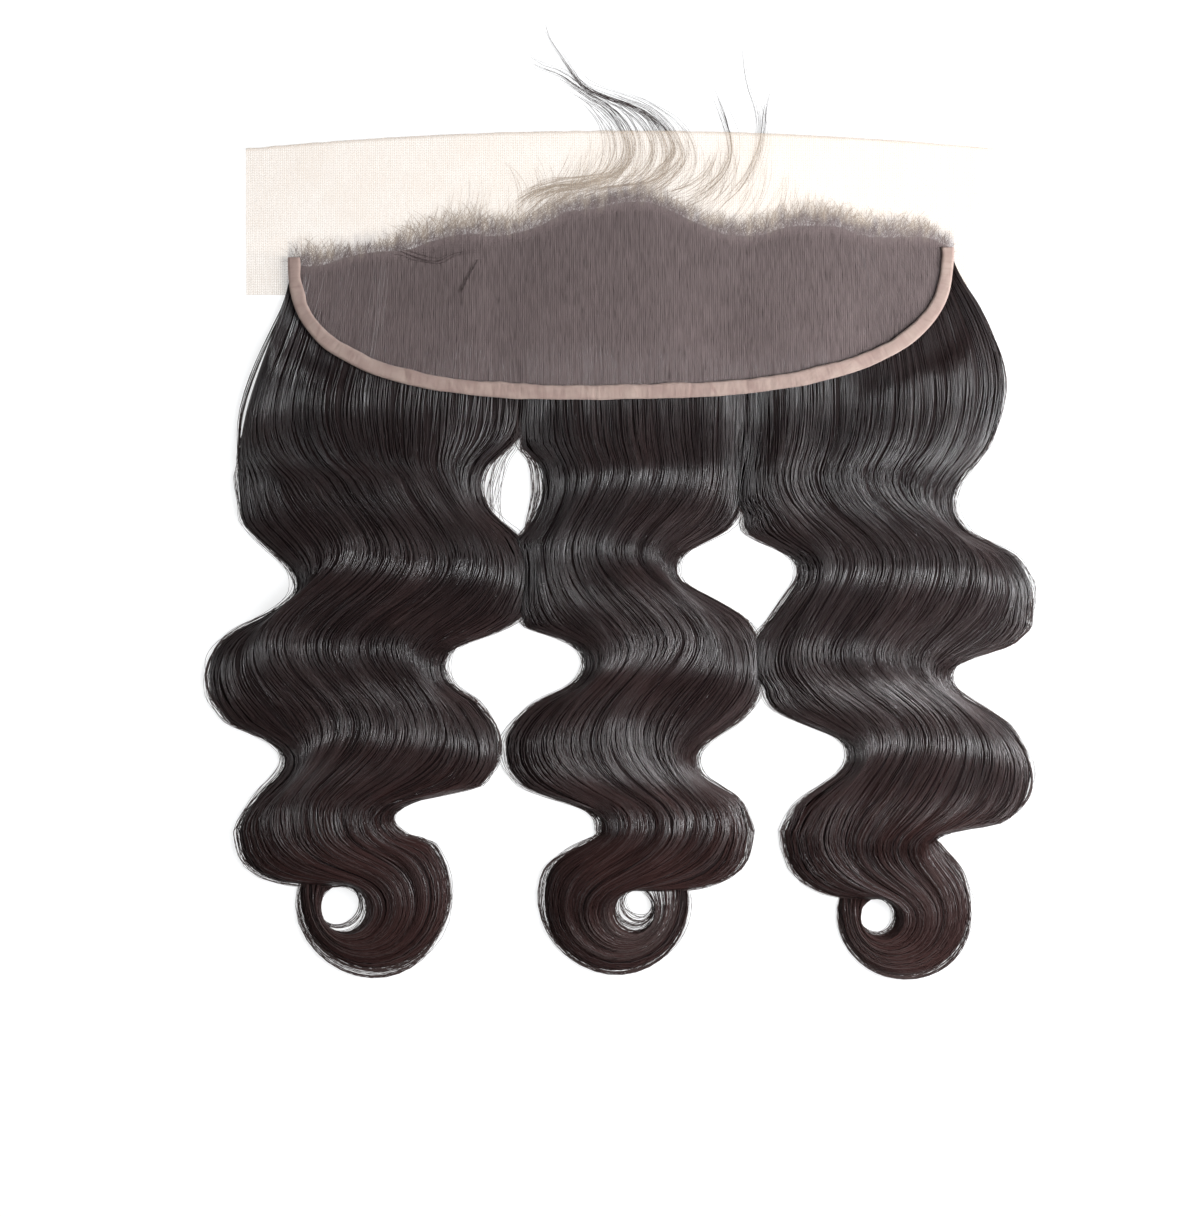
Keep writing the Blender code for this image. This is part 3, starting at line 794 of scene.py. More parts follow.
def lace_finish():
    """Sheer Swiss lace: warp threads joined by slanting ones, hidden where dark hair is knotted on."""
    finish = Finish("swiss_lace", 0.75, 0.2)
    x, y, _ = finish.coordinates()
    behind, inside, _ = finish.coordinates("Hairline")
    warp_pitch, warp_width = 0.00105, 0.00016
    weft_pitch, weft_width = 0.00125, 0.00013
    warp = x.fold(warp_pitch / 2).ease(warp_width * 0.35, warp_width * 0.75, 1, 0)
    slant = (x.fold(warp_pitch) * 0.6 + y).fold(weft_pitch / 2)
    weft = slant.ease(weft_width * 0.35, weft_width * 0.75, 1, 0)
    streaks = finish.noise(finish.vector(x * 1150, y * 105), 1.0, 2.0)
    lines = finish.noise(finish.vector(x * 2100, y * 160), 1.0, 1.0)
    patches = finish.noise(finish.vector(x, y), 42.0, 2.0)
    grain = finish.noise(finish.vector(x * 1300, y * 1000), 1.0, 1.0)
    fray = finish.noise(finish.vector(x * 260, y * 90), 1.0, 2.0)
    knotted = (behind + (fray - 0.5) * 0.014).ease(-0.006, 0.003)
    fringe = (behind + (fray - 0.5) * 0.016).ease(-0.013, -0.001) * patches.ease(0.2, 0.7, 0.45, 1.0)
    # What follows is how much the lace covers, from 0 for clear to 1 for solid
    cover = warp.larger(weft)
    haze = (patches - 0.5) * 0.12 + (grain - 0.5) * 0.10
    bare = cover * 0.18 + haze + streaks.ease(0.3, 0.75, 0.175, 0.225) + fringe * 0.09
    grown = cover * 0.24 + haze + streaks.ease(0.3, 0.75, 0.145, 0.285) - lines.ease(0.55, 0.75, 0, 0.14)
    edge = inside.ease(0.0, 0.0022, 0.17, 0.0)
    dense = (behind + (fray - 0.5) * 0.006).ease(-0.002, 0.002) * behind.ease(0.001, 0.007, 0.10, 0.0)
    alpha = bare * (1 - knotted) + grown * knotted + edge * (1 - knotted) + dense
    finish.set("Alpha", alpha.smaller(1.0).larger(0.0))
    grey = finish.mix(fringe.smaller(1.0), LACE_CREAM, LACE_FRINGE)
    finish.set("Base Color", finish.mix(knotted, grey, LACE_KNOTTED))
    finish.bump(cover, 0.0001, 0.5)
    return finish.material


def tape_finish():
    """Pinkish beige tape with a fine weave, with painted shade in its gathers: in the hollows of its ribs,
    along its pleats and over turned lengths.
    """
    finish = Finish("binding_tape", 0.85, 0.15, sheen=0.1)
    along, across, _ = finish.coordinates("Tape")
    threads = (along * 2 * math.pi / 0.0006).sine() * 0.5 + (across * 2 * math.pi / 0.0005).sine() * 0.5
    ribs = finish.noise(finish.vector(along * 420, across * 50), 1.0, 2.0)
    lean = across * 0.5 + along
    pleats = finish.noise(finish.vector(lean * 190, across * 30), 1.0, 1.0)
    spots = finish.noise(finish.vector(along * 90, across * 120), 1.0, 2.0)
    tint = finish.mix(spots.ease(0.3, 0.7), TAPE_PINK, TAPE_BEIGE)
    lengths = finish.noise(finish.vector(lean * 30, 3.0), 1.0, 0.0)
    turned_shade = lengths.ease(0.47, 0.49) - lengths.ease(0.56, 0.58)
    # Painted shade: the tint darkens in the hollows of the ribs, along the pleats and over turned lengths of
    # tape
    gather = ribs.ease(0.25, 0.55, 0.30, 0.0) + pleats.ease(0.60, 0.74, 0.0, 0.45) + turned_shade * 0.16
    finish.set("Base Color", finish.mix(gather.smaller(1.0), tint, TAPE_GATHER_SHADE))
    finish.bump(threads * 0.25 + ribs + pleats, 0.00045, 0.8)
    return finish.material


# Meshes


def row_shift():
    """From the middle of the binding's outer edge to the place where the solids stand."""
    low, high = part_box("edge_binding")
    lowest = min(binding_edge(HALF_CAP * side / 500) for side in range(-500, 501))
    return Vector(((low[0] + high[0]) / 2, low[1] - lowest, 0))


ORIGIN = row_shift()


def add_piece(name, mesh, materials, replaced=()):
    """Moves a finished mesh to its place in the row's frame and makes it a piece of the object."""
    for vert in mesh.vertices:
        vert.co += ORIGIN
    for index, material in enumerate(materials):
        if index < len(mesh.materials):
            mesh.materials[index] = material
        else:
            mesh.materials.append(material)
    piece = bpy.data.objects.new(name, mesh)
    bpy.context.scene.collection.objects.link(piece)
    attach(piece, "root")
    if replaced:
        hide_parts(*replaced)
    return piece


def shaped_grid(name, across, along, place, layer=None, closed=True):
    """A grid, with a thickness if closed, whose every vertex place() puts where it belongs.

    place(u, v, top) gets the shares across and along, and whether the vertex is on the upper side. layer is
    the name of a UV layer and a function that gives the UV of u and v.
    """
    grid = bmesh.new()
    bmesh.ops.create_grid(grid, x_segments=across, y_segments=along, size=0.5)
    share = {vert: (vert.co.x + 0.5, vert.co.y + 0.5) for vert in grid.verts}
    first = list(grid.verts)
    second = []
    if closed:
        raised = bmesh.ops.extrude_face_region(grid, geom=grid.faces[:], use_keep_orig=True)
        second = [item for item in raised["geom"] if isinstance(item, bmesh.types.BMVert)]
        for vert in second:
            share[vert] = (vert.co.x + 0.5, vert.co.y + 0.5)
    if layer:
        uv = grid.loops.layers.uv.new(layer[0])
        for face in grid.faces:
            for loop in face.loops:
                loop[uv].uv = layer[1](*share[loop.vert])
    for verts, top in ((first, not closed), (second, True)):
        for vert in verts:
            vert.co = place(*share[vert], top)
    bmesh.ops.recalc_face_normals(grid, faces=grid.faces)
    mesh = bpy.data.meshes.new(name)
    grid.to_mesh(mesh)
    grid.free()
    mesh.shade_smooth()
    return mesh


def hair_profile():
    """The three-sided section that every hair is swept from, one metre in radius before a hair scales it."""
    curve = bpy.data.curves.new("hair_profile", "CURVE")
    section = curve.splines.new("POLY")
    section.points.add(2)
    for point, degrees in zip(section.points, (90, 210, 330)):
        point.co = (math.cos(math.radians(degrees)), math.sin(math.radians(degrees)), 0, 1)
    section.use_cyclic_u = True
    return bpy.data.objects.new("hair_profile", curve)


def hairs_mesh(name, hairs):
    """One closed mesh of many fine hairs. A hair's tone is the number of its material."""
    curve = bpy.data.curves.new(name, "CURVE")
    curve.dimensions = "3D"
    curve.bevel_mode = "OBJECT"
    curve.bevel_object = PROFILE
    curve.use_fill_caps = True
    for tone in range(1 + max(hair.tone for hair in hairs)):
        curve.materials.append(None)
    for hair in hairs:
        line = curve.splines.new("POLY")
        line.points.add(len(hair.points) - 1)
        line.points.foreach_set("co", [number for point in hair.points for number in (*point, 1)])
        line.points.foreach_set("radius", hair.radii)
        line.material_index = hair.tone
        line.use_smooth = True
    sweep = bpy.data.objects.new(name, curve)
    bpy.context.scene.collection.objects.link(sweep)
    evaluated = sweep.evaluated_get(bpy.context.evaluated_depsgraph_get())
    mesh = bpy.data.meshes.new_from_object(evaluated)
    bpy.data.objects.remove(sweep)
    bpy.data.curves.remove(curve)
    welded = bmesh.new()
    welded.from_mesh(mesh)
    bmesh.ops.remove_doubles(welded, verts=welded.verts, dist=1e-6)
    welded.to_mesh(mesh)
    welded.free()
    return mesh


PROFILE = hair_profile()
bpy.context.scene.collection.objects.link(PROFILE)


def tapered(count, radius, root=0.7, tip=0.15):
    """Radii of a hair that is thickest in its middle stretch and fine at its tip."""
    radii = []
    for index in range(count):
        share = index / (count - 1)
        radii.append(radius * min(lerp(root, 1, share * 6), 1, lerp(tip, 1, (1 - share) * 5)))
    return radii


# Locks

BODY_ACROSS, BODY_ALONG = 44, 180
BODY_SINK = 0.0003  # the combed body lies this far under the surface that the strands follow
BODY_INSET = 0.008  # share of the width that only loose hairs cover, at each side
FRINGE = 0.0004  # the body's end is ragged by about this much, behind the line where the hair is full
LOCK_WIDTH, LOCK_LENGTH = 0.110, 0.520
HAIR_POINTS = 15
CLUMPS_A_LOCK = 128
STRANDS_A_CLUMP = 17
GOLDEN = 0.618034  # spreads clumps evenly without a pattern
STRAND_RADIUS = 0.00026
CLUMP_DRIFT, OWN_DRIFT = 0.030, 0.013  # shares of the width that a clump and a single strand wander by
SAME_TONE = 0.6  # share of the strands that keep their clump's tone
DULL_IN_RINGS = 0.85  # share of the strands that are dull in the ring curls
DULL = 3  # number of the duller material that most strands of the ring curls take

# Where a ring curl thins out: from and to which step, and the part of its width that stays full at the end
Thinning = namedtuple("Thinning", "start end left right")
THINNINGS = {
    "left": Thinning(68, 72, 0.0, 1.0),
    "middle": Thinning(60, 67, 0.0, 0.24),
    "right": Thinning(68, 72, 0.0, 1.0),
}
BODY_END = 72  # the step where the combed bodies end, under the lobe above

# Loose hairs that stand off a side of a lock: -1 left or 1 right, from and to which step, how far, how many
Loose = namedtuple("Loose", "side start end reach hairs")
LOOSE = {
    "left": [
        Loose(1, 61, 71, 0.0070, 16),
        Loose(1, 60, 70, 0.0028, 12),
        Loose(1, 50, 60, 0.0026, 10),
        Loose(-1, 57, 69, 0.0060, 12),
        Loose(1, 47, 55, 0.0040, 9),
        Loose(-1, 1, 14, 0.0040, 16),
        Loose(-1, 28, 36, 0.0020, 10),
        Loose(1, 34, 41, 0.0022, 8),
        Loose(1, 8, 18, 0.0150, 9),
        Loose(1, 9, 17, 0.0060, 6),
        Loose(-1, 46, 53, 0.0030, 8),
    ],
    "middle": [
        Loose(-1, 8, 19, 0.0080, 12),
        Loose(-1, 8, 20, 0.0040, 14),
        Loose(-1, 53, 61, 0.0040, 12),
        Loose(-1, 58, 70, 0.0028, 12),
        Loose(-1, 62, 71, 0.0020, 10),
        Loose(1, 57, 70, 0.0090, 14),
        Loose(1, 60, 70, 0.0045, 10),
        Loose(1, 44, 54, 0.0040, 14),
        Loose(-1, 44, 52, 0.0040, 12),
        Loose(1, 20, 30, 0.0020, 8),
        Loose(-1, 28, 36, 0.0022, 8),
    ],
    "right": [
        Loose(1, 57, 67, 0.0032, 14),
        Loose(1, 50, 58, 0.0034, 12),
        Loose(1, 62, 71, 0.0022, 10),
        Loose(-1, 58, 69, 0.0040, 8),
        Loose(-1, 46, 53, 0.0026, 8),
        Loose(1, 24, 33, 0.0024, 10),
        Loose(1, 39, 48, 0.0022, 9),
        Loose(-1, 22, 29, 0.0022, 7),
        Loose(1, 2, 12, 0.0012, 8),
    ],
}


def lock_body(lock, material):
    """The combed mass of a lock: its surface, thin sides and flat underside."""
    thin = THINNINGS[lock.side]
    last = lock.share_at(BODY_END)
    steps = [lock.step_at(last * index / BODY_ALONG) for index in range(BODY_ALONG + 1)]

    def place(u, v, top):
        step = steps[round(v * BODY_ALONG)]
        gone = smooth((step - thin.start) / (thin.end - thin.start))
        open_side = smooth((step - 6) / 3)
        inset = open_side * BODY_INSET
        low = lerp(0, thin.left, gone) + inset * (0.8 + 0.9 * wander(step * 0.3, lock.seed, 1.0))
        high = lerp(1, thin.right, gone) - inset * (0.8 + 0.9 * wander(step * 0.3, lock.seed, 4.0))
        within = lerp(low, high, u)
        x, y = lock.flat(within, step)
        ragged = 1 + 0.5 * wander(x * 130, lock.seed) + 0.9 * wander(x * 420, lock.seed)
        y -= FRINGE * clamp(1 - step / 2) * ragged
        if not top:
            return Vector((x, y, ABOVE_TABLE))
        rim = min(1.0, 9 * min(u, 1 - u) + 0.25)
        return Vector((x, y, max(0.0004, lock.height(within, step) * rim - BODY_SINK)))

    def flow(u, v):
        return (u * LOCK_WIDTH, v * LOCK_LENGTH)

    mesh = shaped_grid("lock_body", BODY_ACROSS, BODY_ALONG, place, ("Flow", flow))
    name = "lock_" + lock.side
    return add_piece(name + "_combed_body", mesh, [material], [name])


def strand(lock, rng, clump, start, length, u, lift, radius, tone):
    """A strand that comes up out of a lock's surface, follows its clump and dives under again."""
    own = rng.uniform(0, 500)
    points = []
    for index in range(HAIR_POINTS):
        share = index / (HAIR_POINTS - 1)
        step = lock.step_at(start + length * share)
        drift = CLUMP_DRIFT * wander(clump, step * 0.08) + OWN_DRIFT * wander(own, step * 0.15)
        shown = min(1.0, 5 * share, 5 * (1 - share))
        rise = lift * (0.7 + 0.6 * wander(own + 90, step * 0.09)) * shown - 0.0004 * (1 - shown)
        points.append(lock.point(clamp(u + drift, 0.002, 0.998), step, rise))
    return Hair(points, tapered(HAIR_POINTS, radius, 0.35, 0.25), tone)


def lock_strands(lock, materials):
    """The strands on a lock's surface, in clumps that overlap along and across it."""
    rng = random.Random(31 + int(lock.seed))
    hairs = []
    for number in range(CLUMPS_A_LOCK):
        clump = rng.uniform(0, 500)
        length = rng.uniform(0.14, 0.23)
        start = lerp(-0.02, 1.0 - 0.75 * length, (number + rng.random()) / CLUMPS_A_LOCK)
        centre = (number * GOLDEN + rng.gauss(0, 0.01)) % 1
        lift = rng.uniform(0.0, 0.0004)
        kind = rng.choices(range(DULL), (5, 4, 3))[0]
        for _ in range(STRANDS_A_CLUMP):
            u = clamp(centre + rng.gauss(0, 0.021), 0.002, 0.998)
            own_start = start + rng.gauss(0, 0.02)
            own_length = length * rng.uniform(0.7, 1.1)
            radius = STRAND_RADIUS * rng.uniform(0.5, 1.15)
            own_lift = lift + rng.uniform(0.0, 0.0002)
            tone = kind if rng.random() < SAME_TONE else rng.randrange(DULL)
            middle = lock.step_at(own_start + own_length / 2)
            if rng.random() < DULL_IN_RINGS * smooth((middle - lock.last_wave + 4) / 5):
                tone = DULL
            hairs.append(strand(lock, rng, clump, own_start, own_length, u, own_lift, radius, tone))
    mesh = hairs_mesh("strands", hairs)
    return add_piece("lock_" + lock.side + "_strands", mesh, materials)


def stand_off(lock, rng, side, start, end, reach, radius, tone, clump=None):
    """A fine hair that leaves a lock's side, bows away from it by up to reach, and joins it again."""
    own = rng.uniform(0, 500)
    bundle = own if clump is None else clump
    points = []
    for index in range(HAIR_POINTS):
        share = index / (HAIR_POINTS - 1)
        step = lock.step_at(lerp(start, end, share))
        bow = math.sin(math.pi * share) ** 0.8
        away = reach * bow * (0.85 + 0.4 * wander(bundle, step * 0.12) + 0.15 * wander(own, step * 0.2))
        inside = 0.02 * (1 - bow)
        away /= lock.width(step)
        u = inside - away if side < 0 else 1 - inside + away
        x, y = lock.flat(u, step)
        points.append(Vector((x, y, 0.0008 + 0.0018 * abs(wander(own + 20, step * 0.1)))))
    return Hair(points, tapered(HAIR_POINTS, radius, 0.6, 0.4), tone)


# Fine hairs spread over a ring where it is thin: from and to which step, between which shares of its width
Veil = namedtuple("Veil", "start end low high hairs")
VEILS = {
    "left": Veil(60, 72, 0.0, 1.0, 40),
    "middle": Veil(56, 72, 0.15, 0.98, 90),
    "right": Veil(60, 72, 0.0, 1.0, 40),
}
FLYAWAYS_A_SIDE = 85
FLYAWAY_RADIUS = 0.000095


def lock_flyaways(lock, materials):
    """Single hairs and thin bundles that stand off the lock's sides."""
    rng = random.Random(57 + int(lock.seed))
    hairs = []
    for side in (-1, 1):
        for _ in range(FLYAWAYS_A_SIDE):
            length = rng.uniform(0.06, 0.16)
            start = rng.uniform(0.16, 1 - length * 0.8)
            reach = 0.0006 + 0.0030 * rng.random() ** 2.5
            radius = FLYAWAY_RADIUS * rng.uniform(0.7, 1.5)
            tone = rng.randrange(len(materials))
            hairs.append(stand_off(lock, rng, side, start, start + length, reach, radius, tone))
    for loose in LOOSE[lock.side]:
        start, end = lock.share_at(loose.start), lock.share_at(loose.end)
        clump = rng.uniform(0, 500)
        for _ in range(loose.hairs):
            reach = loose.reach * rng.uniform(0.35, 1.0)
            first = start + rng.gauss(0, 0.006)
            last = end + rng.gauss(0, 0.006)
            radius = FLYAWAY_RADIUS * rng.uniform(0.9, 1.9)
            tone = rng.randrange(len(materials))
            hairs.append(stand_off(lock, rng, loose.side, first, last, reach, radius, tone, clump))
    veil = VEILS[lock.side]
    start, end = lock.share_at(veil.start), lock.share_at(veil.end)
    for _ in range(veil.hairs):
        u = rng.uniform(veil.low, veil.high)
        first = start + abs(rng.gauss(0, 0.02))
        length = end - first - abs(rng.gauss(0, 0.008))
        radius = FLYAWAY_RADIUS * rng.uniform(0.9, 1.6)
        lift = rng.uniform(0, 0.001)
        tone = rng.randrange(2)
        hairs.append(strand(lock, rng, 3.0, first, length, u, lift, radius, tone))
    mesh = hairs_mesh("flyaways", hairs)
    return add_piece("lock_" + lock.side + "_flyaways", mesh, materials)


# Lace

LACE_ACROSS, LACE_ALONG = 150, 54
LACE_THICKNESS = 0.0002
FLAP_REST = 0.00026  # height of the temple flaps, which lie on the table under the hair
FLAP_TURN = 0.0015  # over this far across, the lace comes down to a flap
TAPE_HOLD, TAPE_TURN = 0.002, 0.0014  # and so far in from the tape's edge, over this far
FLAP_TOP = 0.008  # and so far above the temple


def lace_rest(x, y):
    """Height of the lace's middle, with the soft ripples of a sheet that was packed folded."""
    margin = smooth((y - hairline(x)) / 0.02)
    ripple = wander(x * 14, y * 22, 5.0) * 0.00035 + wander(x * 45, y * 60, 9.0) * 0.00012
    spread = lace_height(x, y) + LACE_WALL / 2 + ripple * lerp(0.6, 1.0, margin)
    flap = smooth((abs(x) - corner_side() * HALF_CAP + FLAP_TURN) / FLAP_TURN)
    beside = smooth((past_back_edge(x, y) + TAPE_HOLD) / TAPE_TURN)
    beside *= smooth((TEMPLE_DEPTH + FLAP_TOP - y) / FLAP_TOP)
    return lerp(spread, FLAP_REST, flap * beside)


def lace_sheet(material):
    half = LACE_SPAN / 2

    def place(u, v, top):
        x = half * math.sin(math.pi * (u - 0.5))
        ragged = 0.0004 * wander(x * 160, 3.0) * v
        y = lerp(back_edge(x) + 0.0006, front_edge(x), v) + ragged
        return Vector((x, y, lace_rest(x, y)))

    def hairline_layer(u, v):
        """How far a place lies behind the hairline and how far from the cut front edge."""
        x, y, _ = place(u, v, True)
        grown = abs(x) < HALF_CAP and past_back_edge(x, y) < 0.0008
        return (full_line(x) - y if grown else -0.02, front_edge(x) - y)

    mesh = shaped_grid("lace", LACE_ACROSS, LACE_ALONG, place, ("Hairline", hairline_layer), closed=False)
    lace = add_piece("lace_net", mesh, [material], ["lace_base"])
    wall = lace.modifiers.new("lace thickness", "SOLIDIFY")
    wall.thickness = LACE_THICKNESS
    wall.offset = 0
    return lace


def lace_area():
    """Flat area of the cut lace."""
    slices = 400
    step = LACE_SPAN / slices
    sides = [-LACE_SPAN / 2 + (i + 0.5) * step for i in range(slices)]
    return sum((front_edge(x) - back_edge(x)) * step for x in sides)


# Binding

BINDING_STEPS = 620
BINDING_ACROSS = 12


def binding_tape(material):
    """The folded tape: a rounded outer fold, a loose inner edge and small gathers across it."""
    path = binding_path(BINDING_STEPS)
    length = sum((b - a).length for a, b in zip(path, path[1:]))

    def place(u, v, top):
        step = round(v * BINDING_STEPS)
        ahead = path[min(step + 1, BINDING_STEPS)] - path[max(step - 1, 0)]
        inward = Vector((-ahead.y, ahead.x)).normalized()
        gone = v * length
        narrow = lerp(0.80, 0.96, smooth(min(v, 1 - v) / 0.15))
        fold = smooth(5 * wander(gone * 38, 4.0)) - 0.5
        edge = BINDING_WIDTH * (narrow + 0.06 * wander(gone * 130, 1.0) + 0.07 * fold)
        outer = 0.0004 * wander(gone * 70, 8.0)
        x, y = path[step] + inward * lerp(outer, edge, u)
        seat = max(lace_height(*(path[step] + inward * BINDING_WIDTH * side)) for side in (0, 0.5, 1))
        low = seat + LACE_WALL + CLEARANCE
        if not top:
            return Vector((x, y, low))
        gather = 0.5 + 0.5 * wander(gone * 210, u * 1.2, 2.0)
        crease = 0.5 + 0.5 * wander(gone * 520, u * 2.5, 6.0)
        round_off = (1 - abs(2 * u - 1) ** 5) ** 0.5
        puff = BINDING_WALL * (0.72 + 0.40 * gather + 0.16 * crease)
        return Vector((x, y, low + max(0.0002, puff * round_off)))

    def lay(u, v):
        return (v * length, u * BINDING_WIDTH)

    mesh = shaped_grid("tape", BINDING_ACROSS, BINDING_STEPS, place, ("Tape", lay))
    return add_piece("binding_tape", mesh, [material], ["edge_binding"])


# Hairline and baby hair

HAIRLINE_HAIRS = 5200
HAIRLINE_RADIUS = 0.00008
STRAY_RADIUS = 0.00008

# Locks of baby hair that leave the hairline sideways and curl up under the lace
Swoosh = namedtuple("Swoosh", "side spread ahead heading curve length hairs")
SWOOSHES = [
    Swoosh(-0.30, 0.030, -0.002, 0.45, 14, 0.055, 26),
    Swoosh(-0.36, 0.040, -0.003, 0.80, 10, 0.030, 14),
    Swoosh(-0.20, 0.040, -0.001, 0.30, 30, 0.048, 22),
    Swoosh(-0.05, 0.040, -0.002, 0.25, 34, 0.045, 16),
    Swoosh(0.06, 0.040, -0.001, 0.30, 40, 0.045, 16),
    Swoosh(-0.24, 0.040, -0.003, 1.30, 30, 0.036, 16),
    Swoosh(-0.13, 0.030, -0.001, 1.25, 8, 0.028, 10),
    Swoosh(-0.42, 0.050, -0.003, 1.05, 26, 0.026, 14),
    Swoosh(0.17, 0.030, -0.003, 0.20, 38, 0.050, 16),
    Swoosh(0.24, 0.030, -0.003, 0.35, 34, 0.048, 14),
    Swoosh(0.34, 0.030, -0.002, 0.55, 26, 0.046, 12),
    Swoosh(0.45, 0.040, -0.003, 1.10, 30, 0.024, 10),
    Swoosh(-0.60, 0.080, -0.003, 0.70, 50, 0.018, 12),
]


def curved_hair(x, y, length, heading, curve, count, radius, low, tone):
    """A fine hair that lies flat under the lace and bends evenly as it goes."""
    points = []
    for _ in range(count):
        room = lace_height(x, y) - UNDER_LACE
        points.append(Vector((x, y, min(room, low + 0.3 * max(0.0, hairline(x) - y)))))
        heading += curve * length / count
        x += math.cos(heading) * length / count
        y += math.sin(heading) * length / count
    return Hair(points, tapered(count, radius, 1, 0.2), tone)


def hairline_hairs(materials):
    """Short fine hairs that soften the hairline, and longer ones that curl up from it under the lace."""
    rng = random.Random(73)
    hairs = []
    for _ in range(HAIRLINE_HAIRS):
        x = HALF_CAP * rng.uniform(-0.985, 0.985)
        reach = hairline(x) - full_line(x) + 0.0035
        y = full_line(x) - rng.uniform(-0.3 * reach, 0.0055)
        length = (0.005 + reach * rng.uniform(0.2, 1.0)) * (1.0 + 0.5 * wander(x * 35, 7.0))
        heading = math.pi / 2 - 0.3 + 0.7 * wander(x * 60, 2.0) + rng.gauss(0, 0.45)
        curve = rng.gauss(0, 80)
        radius = HAIRLINE_RADIUS * rng.uniform(0.6, 1.3)
        low = rng.uniform(0.0003, 0.0011)
        tone = rng.choices((0, 1), (3, 1))[0]
        hairs.append(curved_hair(x, y, length, heading, curve, 5, radius, low, tone))
    for swoosh in SWOOSHES:
        for _ in range(swoosh.hairs):
            x = HALF_CAP * (swoosh.side + rng.gauss(0, swoosh.spread))
            y = hairline(x) + swoosh.ahead + rng.gauss(0, 0.0012)
            length = swoosh.length * rng.uniform(0.55, 1.05)
            heading = swoosh.heading + rng.gauss(0, 0.10)
            curve = swoosh.curve * rng.uniform(0.85, 1.2)
            radius = HAIRLINE_RADIUS * rng.uniform(0.6, 1.1)
            low = rng.uniform(0.0003, 0.0010)
            tone = rng.randrange(2)
            hairs.append(curved_hair(x, y, length, heading, curve, 14, radius, low, tone))
    for arc in STRAYS:
        hairs += along_arc(rng, arc, STRAY_RADIUS, on_lace)
    mesh = hairs_mesh("hairline", hairs)
    return add_piece("hairline_hairs", mesh, materials)


WISP_POINTS = 16
WISP_RADIUS = 0.000085
ON_LACE = 0.00025  # height of the stray hairs above the lace's middle


def from_photo(across, down):
    """The place that a spot of the photograph shows, round the middle of the binding's outer edge."""
    return Vector((across - PHOTO_BINDING[0], PHOTO_BINDING[1] - down)) * PHOTO_SCALE


def along_arc(rng, arc, radius, level):
    """Fine hairs that follow an arc side by side and gather towards its tip, at the heights of level()."""
    spots = [from_photo(*spot) for spot in arc.spots]
    last = len(spots) - 1
    bundle = rng.uniform(0, 500)
    hairs = []
    for _ in range(arc.hairs):
        offset = rng.gauss(0, 1)
        own = rng.uniform(0, 500)
        first = last * 0.22 * rng.random()
        end = last * (1 - 0.6 * rng.random() ** 1.5)
        low = rng.uniform(0.0002, WISP_LOFT)
        points = []
        for index in range(WISP_POINTS):
            place = lerp(first, end, index / (WISP_POINTS - 1))
            ahead = spline(spots, place + 0.05) - spline(spots, max(place - 0.05, 0))
            side = Vector((ahead.y, -ahead.x)).normalized()
            apart = offset + 0.8 * wander(bundle + offset, place * 0.5) + 0.3 * wander(own, place * 0.9)
            x, y = spline(spots, place) + side * arc.spread * lerp(1.2, 0.5, place / last) * apart
            points.append(Vector((x, y, level(x, y, low))))
        tone = rng.choices((0, 1), (3, 1))[0]
        hairs.append(Hair(points, tapered(WISP_POINTS, radius * rng.uniform(0.6, 1.25), 1, 0.3), tone))
    return hairs


def on_lace(x, y, low):
    return lace_rest(x, y) + ON_LACE


def under_lace(x, y, low):
    return min(low, lace_height(x, y) - UNDER_LACE)


def wisp(name, arcs, materials):
    """A wisp of baby hair, in bundles that arch together and gather into its tip."""
    rng = random.Random(name)
    hairs = []
    for arc in arcs:
        hairs += along_arc(rng, arc, WISP_RADIUS, under_lace)
    mesh = hairs_mesh(name, hairs)
    return add_piece(name + "_hairs", mesh, materials, [name])


# Studio

CAMERA_LENS = 85  # millimetres
SENSOR = 36  # millimetres, across the photograph's longer side
FLOOR_GLOW = 0.74  # the white floor is lit from below, so that it keeps hardly a shadow
FLOOR_HALF = 6
ROOM_GLOW = 0.03
SOFTBOX_TINT = (0.95, 0.975, 1.0)


def studio_camera():
    """Straight above the middle of the photograph's frame."""
    middle = Vector((PHOTO_WIDTH / 2 - PHOTO_BINDING[0], PHOTO_BINDING[1] - PHOTO_HEIGHT / 2)) * PHOTO_SCALE
    data = bpy.data.cameras.new("camera")
    data.lens = CAMERA_LENS
    data.sensor_width = SENSOR
    data.sensor_fit = "AUTO"
    distance = PHOTO_HEIGHT * PHOTO_SCALE * CAMERA_LENS / SENSOR
    data.clip_start = 0.01
    camera = bpy.data.objects.new("camera", data)
    camera.location = (middle.x + ORIGIN.x, middle.y + ORIGIN.y, distance + HAIR_LOFT / 2)
    bpy.context.scene.collection.objects.link(camera)
    bpy.context.scene.camera = camera


def softbox(name, place, target, width, height, power):
    data = bpy.data.lights.new(name, "AREA")
    data.shape = "RECTANGLE"
    data.size = width
    data.size_y = height
    data.energy = power
    data.color = SOFTBOX_TINT
    light = bpy.data.objects.new(name, data)
    light.location = place
    light.rotation_euler = (Vector(target) - Vector(place)).to_track_quat("-Z", "Y").to_euler()
    bpy.context.scene.collection.objects.link(light)


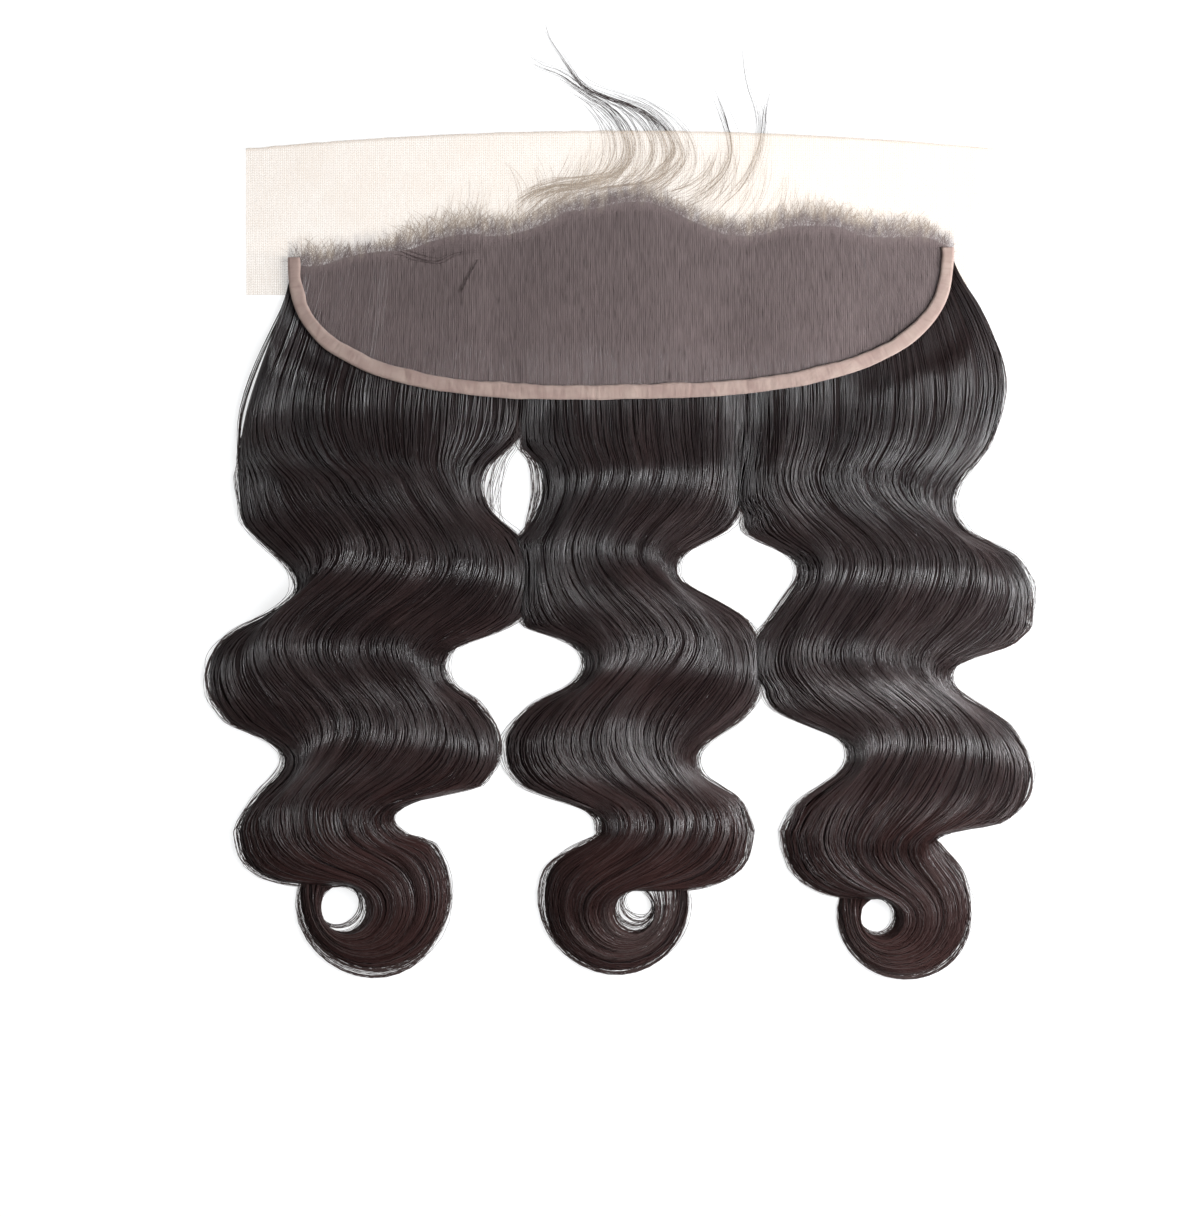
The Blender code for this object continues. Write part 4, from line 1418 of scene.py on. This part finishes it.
def studio_floor():
    mesh = bpy.data.meshes.new("floor")
    plane = bmesh.new()
    bmesh.ops.create_grid(plane, x_segments=1, y_segments=1, size=FLOOR_HALF)
    plane.to_mesh(mesh)
    plane.free()
    finish = Finish("white_light_table", 0.9, 0.1)
    finish.set("Base Color", (0.3, 0.3, 0.3, 1))
    finish.set("Emission Color", (1, 1, 1, 1))
    finish.set("Emission Strength", FLOOR_GLOW)
    mesh.materials.append(finish.material)
    floor = bpy.data.objects.new("floor", mesh)
    bpy.context.scene.collection.objects.link(floor)


def studio():
    studio_camera()
    studio_floor()
    softbox("left softbox", (-1.15, -0.03, 0.80), (0, -0.03, 0), 0.3, 0.9, 9)
    softbox("right softbox", (0.78, -0.03, 0.50), (0.05, -0.03, 0), 0.3, 0.9, 28.5)
    world = bpy.data.worlds.new("white room")
    world.use_nodes = True
    background = world.node_tree.nodes["Background"]
    background.inputs["Color"].default_value = (1, 1, 1, 1)
    background.inputs["Strength"].default_value = ROOM_GLOW
    bpy.context.scene.world = world
    bpy.context.scene.view_settings.view_transform = "Standard"


def build():
    studio()
    strand_tones = [
        hair_finish("hair_black", HAIR_BLACK, HAIR_BROWN, 0.33, 0.8),
        hair_finish("hair_soft_black", HAIR_SOOT, HAIR_BROWN, 0.31, 0.9),
        hair_finish("hair_brown_black", HAIR_BLACK, HAIR_BROWN, 0.38, 0.6),
        hair_finish("hair_dull_brown", HAIR_BLACK, HAIR_BROWN, 0.40, 0.15),
    ]
    fine_tones = [
        hair_finish("fine_hair_dark", FINE_DARK, FINE_BROWN, 0.45, 0.3),
        hair_finish("fine_hair_brown", FINE_BROWN, FINE_BROWN, 0.45, 0.3),
    ]
    combed = combed_finish("combed_hair")
    for lock in locks():
        lock_body(lock, combed)
        lock_strands(lock, strand_tones)
        lock_flyaways(lock, fine_tones)
    lace = lace_sheet(lace_finish())
    tape = binding_tape(tape_finish())
    hairline_hairs(fine_tones)
    for name, arcs in WISPS.items():
        wisp(name, arcs, fine_tones)
    bpy.data.objects.remove(PROFILE)
    lace_area()


build()
